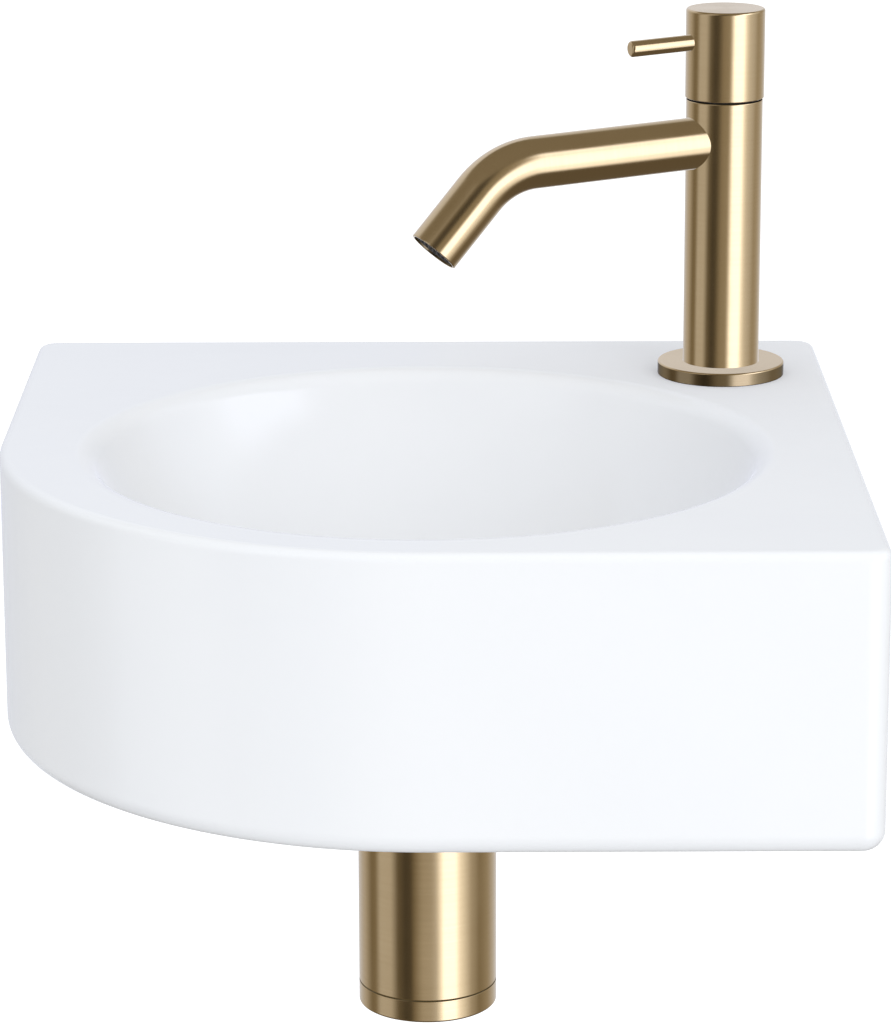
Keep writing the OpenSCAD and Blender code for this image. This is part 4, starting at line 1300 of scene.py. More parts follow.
        join = math.asin(self.bowl_r / reach_r)
        for f in np.linspace(0.0, join, 11):
            ring(self.bowl_r - self.lip_r * math.sin(f), self.lip_r * (math.cos(f) - 1))
        soft = self.soft
        seat_edge = math.asin((self.seat_r + soft) / dish_r)
        for f in np.linspace(join, seat_edge, 34)[1:-1]:
            ring(*on_sphere(dish_r, f))
        top_z = dish_z - math.sqrt(dish_r**2 - self.seat_r**2)
        seat_top = np.array([self.seat_r, top_z])
        curve(on_sphere(dish_r, seat_edge), seat_top, seat_top - np.array([0.0, soft]), 5)
        for a, corner, b, steps in (
            ((self.seat_r, self.seat_z + 1), (self.seat_r, self.seat_z), (self.seat_r - 1, self.seat_z), 3),
            ((self.hole_r + 1, self.seat_z), (self.hole_r, self.seat_z), (self.hole_r, self.seat_z - 1), 3),
            ((self.hole_r, self.boss_z + 1), (self.hole_r, self.boss_z), (self.hole_r + 1, self.boss_z), 3),
            ((self.boss_r - 2, self.boss_z), (self.boss_r, self.boss_z), (self.boss_r, self.boss_z + 2), 4),
        ):
            curve(np.array(a), np.array(corner), np.array(b), steps)
        shell_r = dish_r + self.bowl_wall
        boss_top = dish_z - math.sqrt(shell_r**2 - self.boss_r**2)
        foot = math.asin((self.boss_r + 3.0) / shell_r)
        corner = np.array([self.boss_r, boss_top])
        curve(corner - np.array([0.0, 3.0]), corner, on_sphere(shell_r, foot), 4)
        roof = math.acos((dish_z + self.deck) / shell_r)
        short = roof - soft / shell_r
        for f in np.linspace(foot, short, 14)[1:-1]:
            ring(*on_sphere(shell_r, f))
        meet = np.array([shell_r * math.sin(roof), -self.deck])
        curve(on_sphere(shell_r, short), meet, meet + np.array([soft, 0.0]), 4)
        roof_in, roof_out = centre + spoke * (meet[0] + soft), inner - inward * soft
        for w in (0.1, 0.5, 0.9):
            put((1 - w) * roof_in + w * roof_out, -self.deck)
        for s in np.linspace(0.0, 1.0, 5):
            put(inner - inward * soft * (1 - s) ** 2, -self.deck - soft * s**2)
        for z in np.linspace(-self.deck - soft - 1.0, low + edge + 1.0, 7):
            put(inner, float(z))
        points = np.stack(rows)
        bare_and_painted_shade = ((points[:, :, 1] > -self.bare_back) | (points[:, :, 2] < low + self.bare_foot)).astype(float)
        points[:, :, 2] += self.rim
        along = walked(np.linalg.norm(np.diff(points.mean(axis=1), axis=0), axis=1))
        return Patch(points, Ends.RING, along, bare_and_painted_shade=bare_and_painted_shade)

    def build(self, shelf: FinishShelf) -> None:
        """Makes the basin and drills the tap hole and the wall holes.

        Args:
            shelf: The finishes.
        """
        piece = Piece("ceramic_basin", ("basin_shell", "basin_bowl"), slot=Slot.CERAMIC, sharp=50.0)
        obj = piece.add(self.grid()).build(shelf)
        past = 3.0
        below = place_at(*self.tap_hole, self.rim - self.deck - past)
        drills = [(below, self.tap_hole_r, self.deck + 2 * past)]
        for side in (-1, 1):
            behind = pointing((side * self.wall_hole_x, -self.back - past, 0.0), (0, 1, 0))
            drills.append((behind, self.wall_hole_r, self.back + 2 * past))
        drilled(obj, drills, sharp=50.0)


# The tap


@dataclass
class PillarTap:
    """Flange, body and bent spout of the tap. Sizes in mm, heights from the deck."""

    place: tuple[float, float, float] = (111.4, -56.4, 60.0)
    turn: float = 24.0
    fall: float = 1.8
    body_r: float = 14.25
    body_h: float = 104.7
    bore_r: float = 10.45
    bore_z: float = 78.7
    shank_r: float = 11.05
    shank_h: float = 14.0
    waterway: float = 6.0
    flange_r: float = 23.8
    flange_h: float = 5.0
    spout_z: float = 89.2
    spout_r: float = 9.65
    spout_bore: float = 7.0
    outlet_bore: float = 8.7
    outlet_depth: float = 11.3
    path: BentPath = BentPath(78.4, 31.4, 45.5, 27.0)

    def axis(self) -> Matrix:
        """Placement of the tap's upright axis."""
        return place_at(*self.place)

    def towards_spout(self, height: float) -> Matrix:
        """Placement with X along the spout at a height."""
        return self.axis() @ place_at(0, 0, height) @ Matrix.Rotation(math.radians(180.0 + self.turn), 4, "Z")

    def falling(self, height: float) -> Matrix:
        """Placement with X along the spout or the lever, which leave the axis at a height and fall a little."""
        return self.towards_spout(height) @ Matrix.Rotation(math.radians(self.fall), 4, "Y")

    def build(self, shelf: FinishShelf) -> None:
        """Makes the three brass pieces.

        Args:
            shelf: The finishes.
        """
        bore, rim = self.body_r + 0.05, self.flange_r + 1.0
        ring = lathe(
            160, (bore, 0, 0.2), (self.flange_r, 0, 0.3), (self.flange_r, self.flange_h, 0.6),
            (bore, self.flange_h, 0.15),
        )
        # Painted shade: a full dark contact line along the foot of the flange's side, and the side above it painted
        # partly darker
        ring = ring.with_painted_shade(-0.1, 0.2, rim).with_painted_shade(0.2, self.flange_h - 0.55, rim, share=0.6)
        Piece("tap_base_flange", ("tap_flange",)).add(ring, self.axis()).build(shelf)
        # The annulus on top of the column, under the handle's cap, gets painted shade as a dark seam line
        body = lathe(
            160, (self.shank_r, 0, 0.2), (self.body_r, 0, 0.3), (self.body_r, self.body_h, 0.35),
            (self.bore_r, self.body_h, 0.2), (self.bore_r, self.bore_z, 0.3), (self.waterway, self.bore_z, 0.3),
            (self.waterway, self.shank_h, 0.3), (self.shank_r, self.shank_h, 0.3),
        ).with_painted_shade(self.body_h - 0.05, self.body_h + 1.0, self.body_r - 0.1)
        Piece("tap_column", ("tap_body",)).add(body, self.axis()).build(shelf)
        end = self.path.length()
        start = math.sqrt(self.body_r**2 - self.spout_r**2) - 0.6
        corners = [
            (self.spout_bore, start, 0.1), (self.spout_r, start, 0.1), (self.spout_r, end, 0.35),
            (self.outlet_bore, end, 0.25), (self.outlet_bore, end - self.outlet_depth, 0.2),
            (self.spout_bore, end - self.outlet_depth, 0.2),
        ]
        pipe = sweep(self.path, self.stations(rounded_profile(corners, Ends.RING)), columns=96)
        # Painted shade inside the outlet's mouth, where the bore falls dark
        pipe = pipe.with_painted_shade(end - self.outlet_depth - 0.5, end - 0.1, self.outlet_bore + 0.1, share=0.9, bent=True)
        Piece("spout_pipe", ("spout_tube",)).add(pipe, self.falling(self.spout_z)).build(shelf)

    def stations(self, profile: Profile, step: float = 2.2) -> Profile:
        """Adds rows to the long runs of the spout's profile so that they follow the bend.

        Args:
            profile: A profile whose heights are distances along the path.
            step: Largest distance between two rows in mm.

        Returns:
            The denser profile.
        """
        points, normals = profile.points, profile.normals
        after, normal_after = np.roll(points, -1, axis=0), np.roll(normals, -1, axis=0)
        count = np.maximum(1, np.ceil(np.abs(after[:, 1] - points[:, 1]) / step).astype(int))
        share = np.concatenate([np.arange(n) / n for n in count])[:, None]
        which = np.repeat(np.arange(len(points)), count)
        return Profile(
            points[which] * (1 - share) + after[which] * share,
            normals[which] * (1 - share) + normal_after[which] * share,
        )


@dataclass
class TapHandle:
    """The turning handle cap with its lever. Sizes in mm, heights from the deck."""

    tap: PillarTap
    radius: float = 14.68
    low: float = 105.4
    high: float = 138.6
    edge: float = 0.9
    hollow_r: float = 11.5
    hollow_h: float = 14.0
    socket_r: float = 4.0
    socket_top: float = 130.25
    lever_z: float = 127.0
    lever_r: float = 3.0
    lever_reach: float = 39.5
    grub_r: float = 2.05
    grub_start: float = 6.0
    grub_length: float = 12.0

    def build(self, shelf: FinishShelf) -> None:
        """Makes the cap, drills the grub screw's hole, and makes the lever.

        Args:
            shelf: The finishes.
        """
        roof = self.low + self.hollow_h
        cap = lathe(
            160, (0, self.socket_top, 0), (self.socket_r, self.socket_top, 0.2), (self.socket_r, roof, 0.3),
            (self.hollow_r, roof, 0.4), (self.hollow_r, self.low, 0.3), (self.radius, self.low, 0.3),
            (self.radius, self.high, self.edge), (0, self.high, 0), ends=Ends.POLES,
        )
        obj = Piece("turning_cap", ("handle_cap",), Body.HANDLE).add(cap, self.tap.axis()).build(shelf)
        self.drill_grub_hole(obj)
        root = self.radius - 3.0
        pin = lathe(
            64, (0, root, 0), (self.lever_r, root, 0.2), (self.lever_r, self.lever_reach, 1.0),
            (0, self.lever_reach, 0), ends=Ends.POLES,
        )
        across = self.tap.falling(self.lever_z) @ Matrix.Rotation(math.radians(90), 4, "Y")
        Piece("lever", ("lever_pin",), Body.HANDLE).add(pin, across).build(shelf)

    def drill_grub_hole(self, obj: bpy.types.Object) -> None:
        """Drills the hole behind the lever and lays the outer wall's normals straight again.

        On the outer wall the normal is the direction from the axis. Elsewhere it stays as it was.

        Args:
            obj: The finished cap.
        """
        back = self.tap.towards_spout(self.lever_z) @ Matrix.Rotation(math.radians(-90), 4, "Y")
        drilled(obj, [(back @ place_at(0, 0, self.grub_start), self.grub_r, self.grub_length)], sharp=30.0)
        mesh = obj.data
        vertex = read_out(mesh.loops, "vertex_index", 1, np.int32)
        normal = read_out(mesh.corner_normals, "vector", 3)
        out = read_out(mesh.vertices, "co", 3)[vertex] - np.array([*self.tap.place[:2], 0.0]) * MM
        out[:, 2] = 0.0
        far = np.linalg.norm(out, axis=1)
        total = read_out(mesh.polygons, "loop_total", 1, np.int32)
        face_normal = np.repeat(read_out(mesh.polygons, "normal", 3), total, axis=0)
        out /= np.maximum(far, 1e-6)[:, None]
        wall = (np.abs(far - self.radius * MM) < 2e-6) & ((face_normal * out).sum(axis=1) > 0.97)
        normal[wall] = out[wall]
        mesh.normals_split_custom_set(normal.tolist())


@dataclass
class TapFixing:
    """Threaded shank and back nut that hold the tap. Sizes in mm, heights from the deck."""

    tap: PillarTap
    shank_r: float = 11.0
    inlet_r: float = 10.48
    bore_r: float = 6.0
    low: float = -60.0
    step: float = -42.0
    high: float = 0.0
    pitch: float = 1.814
    thread: float = 0.95
    nut_flats: float = 30.0
    nut_low: float = -27.0
    nut_high: float = -19.0

    def build(self, shelf: FinishShelf) -> None:
        """Makes the shank with its thread, and the hexagon nut.

        Args:
            shelf: The finishes.
        """
        columns = 48
        z = np.arange(self.low + 0.8, self.high, self.pitch / 9.0)
        crest = np.where(z < self.step, self.inlet_r, self.shank_r)
        fade = np.clip((z - self.low - 0.6) / 2.0, 0.0, 1.0) * np.clip(np.abs(z - self.step) / 1.2, 0.0, 1.0)
        threads = crest[:, None] - self.thread * fade[:, None] * wave(z, columns, self.pitch)
        flat = np.ones((1, columns))
        radius = np.concatenate([
            flat * (self.bore_r + 0.3), flat * (self.inlet_r - 1.2), flat * (self.inlet_r - 0.6), threads,
            flat * self.shank_r, flat * (self.bore_r + 0.2), flat * self.bore_r, flat * self.bore_r,
        ])
        height = np.concatenate([
            [self.low, self.low, self.low + 0.4], z, [self.high, self.high, self.high - 0.3, self.low + 0.4],
        ])
        shank = Piece("threaded_shank", ("tap_shank",), slot=Slot.TURNED_BRASS, sharp=40.0)
        shank.add(turned_grid(radius, height, Ends.RING), self.tap.axis()).build(shelf)
        nut = hex_nut(self.nut_flats, self.nut_low, self.nut_high, self.shank_r + 0.05)
        piece = Piece("tap_hexagon_nut", ("tap_back_nut",), slot=Slot.TURNED_BRASS, sharp=22.0)
        piece.add(nut, self.tap.axis()).build(shelf)


def hex_nut(flats: float, low: float, high: float, bore: float, columns: int = 144) -> Patch:
    """A hexagon nut with turned chamfers: the radius is the lesser of the hexagon's and a cone's.

    Args:
        flats: Width across the flats in mm.
        low: Height of the lower face in mm.
        high: Height of the upper face in mm.
        bore: Radius of the bore in mm.
        columns: Number of steps round the axis.

    Returns:
        The patch.
    """
    hexagon = hexagon_radius(flats, columns)
    deep = np.array([0.0, 0.12, 0.3, 0.6, 0.9, 1.2, 1.5, 1.9])
    cone = flats / 2.0 - 0.2 + 1.732 * deep
    sides = np.minimum(hexagon[None], cone[:, None])
    flat = np.ones((1, columns))
    radius = np.concatenate([flat * (bore + 0.4), sides, sides[::-1], flat * (bore + 0.4), flat * bore, flat * bore])
    height = np.concatenate([[low], low + deep, high - deep[::-1], [high], [high - 0.4, low + 0.4]])
    return turned_grid(radius, height, Ends.RING)


def grip_ring(
    outer: float, low: float, high: float, inner: list[tuple[float, float]], grips: int, depth: float, share: float,
    columns: int = 240,
) -> Patch:
    """A turned ring with hollows for the hand milled round its outside.

    The outer radius is R - d * max(0, cos(n t))^share, faded towards both faces.

    Args:
        outer: Outer radius in mm.
        low: Height of the lower face in mm.
        high: Height of the upper face in mm.
        inner: The inside, as (radius, height) from the upper face down to the lower one.
        grips: Number of hollows.
        depth: Their depth in mm.
        share: Sharpness of the hollows; larger is narrower.
        columns: Number of steps round the axis.

    Returns:
        The patch.
    """
    t = np.arange(columns) * FULL_TURN / columns
    hollow = depth * np.clip(np.cos(grips * t), 0.0, 1.0) ** share
    rise = np.array([0.0, 0.12, 0.35, 0.6, 1.2, 2.0])
    edge = np.array([0.6, 0.33, 0.09, 0.0, 0.0, 0.0])
    lower = outer - edge[:, None] - hollow[None] * np.clip(rise / 1.2, 0.0, 1.0)[:, None]
    flat = np.ones((1, columns))
    inside_r = np.array([r for r, _ in inner])
    inside_z = np.array([z for _, z in inner])
    radius = np.concatenate([flat * (inside_r[-1] + 0.2), lower, lower[::-1], inside_r[:, None] * flat])
    height = np.concatenate([[low], low + rise, high - rise[::-1], inside_z])
    return turned_grid(radius, height, Ends.RING)


# The waste and the trap


@dataclass
class BasinWaste:
    """Flanged waste with its strainer grid. Sizes in mm, heights from the rim."""

    place: tuple[float, float, float] = (0.0, -168.0, 60.0)
    flange_r: float = 32.0
    flange_low: float = -79.0
    flange_high: float = -75.0
    tail_r: float = 20.95
    tail_low: float = -112.0
    bore_r: float = 18.0
    grid_r: float = 19.9
    grid_low: float = -77.0
    hub_r: float = 4.5
    hub_bore: float = 2.55
    hub_low: float = -87.0
    hub_high: float = -82.0
    bar_w: float = 3.2
    screw_r: float = 4.6
    screw_high: float = -73.0
    hole_r: float = 2.0
    nut_r: float = 30.0
    nut_low: float = -102.0
    nut_high: float = -95.0
    pitch: float = 2.309

    def build(self, shelf: FinishShelf) -> None:
        """Makes the waste body, the grid, its screw and the back nut.

        Args:
            shelf: The finishes.
        """
        axis = place_at(*self.place)
        body = Piece("waste_flange_and_tail", ("waste_body",), sharp=40.0)
        body.add(self.shell(), axis)
        hub = lathe(
            48, (self.hub_bore, self.hub_low, 0.3), (self.hub_r, self.hub_low, 0.4),
            (self.hub_r, self.hub_high, 0.4), (self.hub_bore, self.hub_high, 0.3),
        )
        body.add(hub, axis)
        for turn in (0.0, 90.0):
            body.add(self.bar(), axis @ Matrix.Rotation(math.radians(turn), 4, "Z"))
        body.build(shelf)
        self.grid(shelf)
        self.screw(shelf)
        thread = self.tail_r + 0.05
        inside = [(self.tail_r + 0.4, self.nut_high), (thread, self.nut_high - 0.4), (thread, self.nut_low + 0.4)]
        nut = grip_ring(self.nut_r, self.nut_low, self.nut_high, inside, grips=12, depth=2.0, share=3.0)
        piece = Piece("waste_ring_nut", ("waste_back_nut",), slot=Slot.TURNED_BRASS, sharp=30.0)
        piece.add(nut, axis).build(shelf)

    def shell(self, columns: int = 144) -> Patch:
        """Flange and threaded tail: a quarter arc for the flange's brow, and the screw wave down the tail.

        Args:
            columns: Number of steps round the axis.

        Returns:
            The patch.
        """
        z = np.arange(self.tail_low + 0.9, self.flange_low - 1.0, self.pitch / 9.0)
        fade = np.clip((z - self.tail_low - 0.6) / 2.0, 0.0, 1.0)
        fade *= np.clip((self.flange_low - 10.0 - z) / 2.0, 0.0, 1.0)
        thread = self.tail_r - 0.7 * fade[:, None] * wave(z, columns, self.pitch)
        brow = np.radians(np.linspace(0.0, 90.0, 8))
        half = (self.flange_high - self.flange_low) / 2.0
        bead_r = self.flange_r - half + half * np.cos(brow)
        bead_z = self.flange_high - half + half * np.sin(brow)
        one = np.ones((1, columns))
        foot = np.array([
            (self.bore_r + 0.3, self.tail_low), (self.tail_r - 0.8, self.tail_low),
            (self.tail_r - 0.4, self.tail_low + 0.3),
        ])
        brim = np.array([
            (self.tail_r, self.flange_low - 0.3), (self.tail_r + 0.4, self.flange_low),
            (self.flange_r - 0.4, self.flange_low), (self.flange_r, self.flange_low + 0.4),
        ])
        inner = np.array([
            (self.flange_r - half - 4.0, self.flange_high), (self.grid_r + 0.5, self.flange_high),
            (self.grid_r + 0.1, self.flange_high - 0.35), (self.grid_r + 0.1, self.grid_low + 0.1),
            (self.grid_r, self.grid_low), (self.bore_r + 0.3, self.grid_low), (self.bore_r, self.grid_low - 0.3),
            (self.bore_r, self.tail_low + 0.3),
        ])
        above = np.concatenate([brim, np.column_stack([bead_r, bead_z]), inner])
        radius = np.concatenate([foot[:, :1] * one, thread, above[:, :1] * one])
        return turned_grid(radius, np.concatenate([foot[:, 1], z, above[:, 1]]), Ends.RING)

    def bar(self) -> Patch:
        """One bar of the cross: a rounded rectangle carried across the bore.

        The section is c + (sign a, sign b) with corners on arcs of 0.6 mm, at x = -18.3 ... 18.3.
        """
        half_w, half_h, r = self.bar_w / 2.0, (self.hub_high - self.hub_low) / 2.0, 0.6
        t = np.radians(np.arange(0.0, 360.0, 15.0) + 7.5)
        y = (half_w - r) * np.sign(np.cos(t)) + r * np.cos(t)
        z = (half_h - r) * np.sign(np.sin(t)) + r * np.sin(t) + (self.hub_low + self.hub_high) / 2.0
        x = np.linspace(-self.bore_r - 0.3, self.bore_r + 0.3, 5)
        return loft(np.stack(np.broadcast_arrays(x[:, None], y, z), axis=2))

    def grid(self, shelf: FinishShelf) -> None:
        """Makes the strainer grid with its two rings of holes.

        Args:
            shelf: The finishes.
        """
        holes = np.concatenate([ring_of(14, self.bore_r - 3.0), ring_of(7, self.bore_r / 2.0)])
        vertices, faces = pierced_plate(self.grid_r, self.grid_low, self.flange_high, 0.35, holes, self.hole_r)
        piece = Piece("strainer", ("strainer_grid",), sharp=30.0)
        piece.build_plain(vertices + np.array(self.place), faces, shelf)

    def screw(self, shelf: FinishShelf) -> None:
        """Makes the domed screw with its hexagon socket.

        The head is an arc r = R cos f, z = h sin f. Its socket's rows take the hexagon's radius.

        Args:
            shelf: The finishes.
        """
        columns = 48
        one = np.ones((1, columns))
        socket = hexagon_radius(2.5, columns)[None]
        f = np.radians(np.linspace(0.0, 68.0, 7))
        dome_r = self.screw_r - 2.0 + 2.0 * np.cos(f)
        dome_z = self.flange_high + (self.screw_high - self.flange_high) * np.sin(f)
        top = float(dome_z[-1])
        stem, tip, seat = 2.5, self.hub_low - 1.0, self.flange_high
        rows = [
            0.001 * one, (stem - 0.1) * one, stem * one, stem * one, (self.screw_r - 0.2) * one, self.screw_r * one,
            dome_r[1:, None] * one, 1.9 * one, socket * 1.12, socket, socket, 0.001 * one,
        ]
        height = np.concatenate([
            [tip, tip, tip + 0.3, seat, seat, seat + 0.2], dome_z[1:],
            [top + 0.05, top + 0.02, top - 0.15, seat + 0.5, seat + 0.4],
        ])
        screw = turned_grid(np.concatenate(rows), height, Ends.POLES)
        Piece("strainer_screw", ("grid_screw",), sharp=30.0).add(screw, place_at(*self.place)).build(shelf)


@dataclass
class BottleTrap:
    """Bottle trap with its nuts, clean-out cap and outlet to the wall. Sizes in mm, heights from the rim."""

    place: tuple[float, float, float] = (0.0, -168.0, 60.0)
    radius: float = 25.0
    wall: float = 1.5
    high: float = -133.0
    low: float = -199.5
    stub_r: float = 19.4
    stub_top: float = -127.0
    tube_r: float = 16.0
    outlet_z: float = -153.0
    outlet_stub: float = 36.0
    cap_low: float = -208.0
    cap_high: float = -199.9
    collar_r: float = 23.45
    collar_high: float = -192.5
    inlet_low: float = -118.5
    inlet_high: float = -103.5
    inlet_r: float = 24.0
    inlet_thread: float = 21.0
    nut_r: float = 22.0
    nut_h: float = 9.0
    ledge: float = 2.5
    neck_high: float = -121.0
    outlet_nut_y: float = 42.0
    tube_start: float = 20.0
    tube_end: float = 208.0
    wall_y: float = 168.0
    rosette_r: float = 30.0
    rosette_h: float = 9.0

    def axis(self) -> Matrix:
        """Placement of the trap's upright axis."""
        return place_at(*self.place)

    def outlet_axis(self) -> Matrix:
        """Placement with Z along the outlet, towards the wall."""
        return self.axis() @ place_at(0, 0, self.outlet_z) @ Matrix.Rotation(math.radians(-90), 4, "X")

    def build(self, shelf: FinishShelf) -> None:
        """Makes the trap's pieces from the waste down and out to the wall.

        Args:
            shelf: The finishes.
        """
        self.nuts(shelf)
        self.cylinder(shelf)
        self.cap(shelf)
        self.outlet(shelf)

    def nuts(self, shelf: FinishShelf) -> None:
        """Makes the three union nuts.

        Args:
            shelf: The finishes.
        """
        thread, ledge = self.inlet_thread, self.tube_r + 0.1
        step = self.inlet_low + self.ledge
        inside = [
            (thread + 0.5, self.inlet_high), (thread, self.inlet_high - 0.5), (thread, step + 0.2),
            (thread - 0.2, step), (ledge + 0.2, step), (ledge, step - 0.2), (ledge, self.inlet_low + 0.3),
        ]
        union = grip_ring(self.inlet_r, self.inlet_low, self.inlet_high, inside, grips=8, depth=0.7, share=1.5)
        thread = self.stub_r + 0.05
        step = self.nut_h - self.ledge
        inside = [
            (ledge + 0.3, self.nut_h), (ledge, self.nut_h - 0.3), (ledge, step + 0.2), (ledge + 0.2, step),
            (thread - 0.2, step), (thread, step - 0.2), (thread, 0.5),
        ]
        clamp = grip_ring(self.nut_r, 0.0, self.nut_h, inside, grips=8, depth=0.6, share=1.5)
        neck = self.axis() @ place_at(0, 0, self.neck_high - self.nut_h)
        outlet = self.outlet_axis() @ place_at(0, 0, self.outlet_nut_y - self.nut_h)
        for name, node, nut, place in (
            ("inlet_union_nut", "trap_inlet_nut", union, self.axis()),
            ("neck_union_nut", "trap_neck_nut", clamp, neck),
            ("outlet_union_nut", "outlet_nut", clamp, outlet),
        ):
            Piece(name, (node,), sharp=30.0).add(nut, place).build(shelf)

    def cylinder(self, shelf: FinishShelf) -> None:
        """Makes the trap's cylinder with its neck, its side stub and the bead between them.

        Args:
            shelf: The finishes.
        """
        inner, bore = self.radius - self.wall, self.tube_r + 0.1
        # The shell's lowest edge, where the clean-out cap meets it, gets painted shade as a dark seam line
        shell = lathe(
            192, (inner, self.low, 0.15), (self.radius, self.low, 0.2), (self.radius, self.high, 0.6),
            (self.stub_r, self.high, 0.6), (self.stub_r, self.stub_top, 0.4), (bore, self.stub_top, 0.3),
            (bore, self.high - 2.5, 0.2), (inner, self.high - 2.5, 0.6),
        ).with_painted_shade(self.low - 0.1, self.low + 0.08, self.radius - 0.02, share=0.8)
        stub = lathe(
            96, (bore, inner - 3.0, 0.1), (self.stub_r, inner - 3.0, 0.1), (self.stub_r, self.outlet_stub, 0.4),
            (bore, self.outlet_stub, 0.3),
        )
        bottle = Piece("trap_bottle", ("trap_cylinder",))
        bottle.add(shell, self.axis()).add(stub, self.outlet_axis()).build(shelf)
        across = self.axis() @ place_at(0, 0, self.outlet_z) @ Matrix.Rotation(math.radians(90), 4, "Z")
        bead = saddle_fillet(self.radius - 0.02, self.stub_r - 0.02, width=0.9)
        Piece("outlet_bead").add(bead, across).build(shelf)

    def cap(self, shelf: FinishShelf) -> None:
        """Makes the clean-out cap, with a shallow turned recess in its floor.

        Args:
            shelf: The finishes.
        """
        core = self.collar_r - 3.0
        # Painted shade on the cap's top shoulder and threaded collar, which show as a dark seam below the cylinder
        cap = lathe(
            192, (0, self.cap_low + 0.6, 0), (9.0, self.cap_low + 0.6, 0.3), (9.6, self.cap_low, 0.3),
            (self.radius, self.cap_low, 0.8), (self.radius, self.cap_high, 0.2), (self.collar_r, self.cap_high, 0.2),
            (self.collar_r, self.collar_high, 0.4), (core, self.collar_high, 0.3), (core, self.cap_low + 2.0, 0.8),
            (0, self.cap_low + 2.0, 0), ends=Ends.POLES,
        ).with_painted_shade(self.cap_high - 0.1, self.collar_high + 0.1, self.radius, share=0.8)
        Piece("clean_out_lid", ("clean_out_cap",), Body.CAP).add(cap, self.axis()).build(shelf)

    def outlet(self, shelf: FinishShelf) -> None:
        """Makes the outlet tube with its insertion mark, and the wall rosette.

        Args:
            shelf: The finishes.
        """
        bore, mark = self.tube_r - 1.4, self.wall_y + 1.0
        tube = lathe(
            128, (bore, self.tube_start, 0.3), (self.tube_r, self.tube_start, 0.3), (self.tube_r, mark, 0.1),
            (self.tube_r - 0.3, mark, 0.1), (self.tube_r - 0.3, mark + 1.0, 0.1), (self.tube_r, mark + 1.0, 0.1),
            (self.tube_r, self.tube_end, 0.4), (bore, self.tube_end, 0.3),
        )
        Piece("outlet_pipe", ("outlet_tube",)).add(tube, self.outlet_axis()).build(shelf)
        front, bore = self.wall_y - self.rosette_h, self.tube_r + 0.05
        rosette = lathe(
            144, (bore, front, 0.4), (self.rosette_r, front, 5.0), (self.rosette_r, self.wall_y, 0.2),
            (self.rosette_r - 1.2, self.wall_y, 0.2), (self.rosette_r - 7.0, front + 1.5, 2.0),
            (bore, front + 1.5, 0.3), fine=9.0,
        )
        Piece("wall_cover", ("wall_rosette",), Body.ROSETTE).add(rosette, self.outlet_axis()).build(shelf)


# The studio


# Angle round the room in degrees, 0 towards the camera, and level of the panel there
DIM_SIDE = (
    (-180, 0.80), (-150, 0.62), (-127, 0.48), (-108, 0.19), (-97, 0.22), (-86, 0.56), (-64, 0.54), (-51, 0.13),
    (-37, 0.06),
)
LEVEL_BANDS = DIM_SIDE + (
    (-26, 0.08), (-12, 0.26), (7, 0.32), (14, 1.10), (20, 2.10), (47, 2.10), (56, 1.15), (67, 0.74), (86, 0.56),
    (102, 0.36), (118, 0.42), (140, 0.60), (158, 0.82), (180, 0.88),
)
LOW_BANDS = DIM_SIDE + (
    (-28, 0.08), (-22, 0.21), (-8, 0.46), (5, 0.50), (15, 0.58), (22, 1.20), (28, 2.10), (47, 2.10), (55, 1.30),
    (62, 1.05), (78, 0.44), (97, 0.21), (120, 0.34), (140, 0.55), (158, 0.70), (180, 0.80),
)
# Rise of the direction where each shade starts and where it is full, and its colour
SHADES = ((0.58, 0.72, (0.23, 0.20, 0.15)), (-0.44, -0.64, (0.14, 0.115, 0.08)))


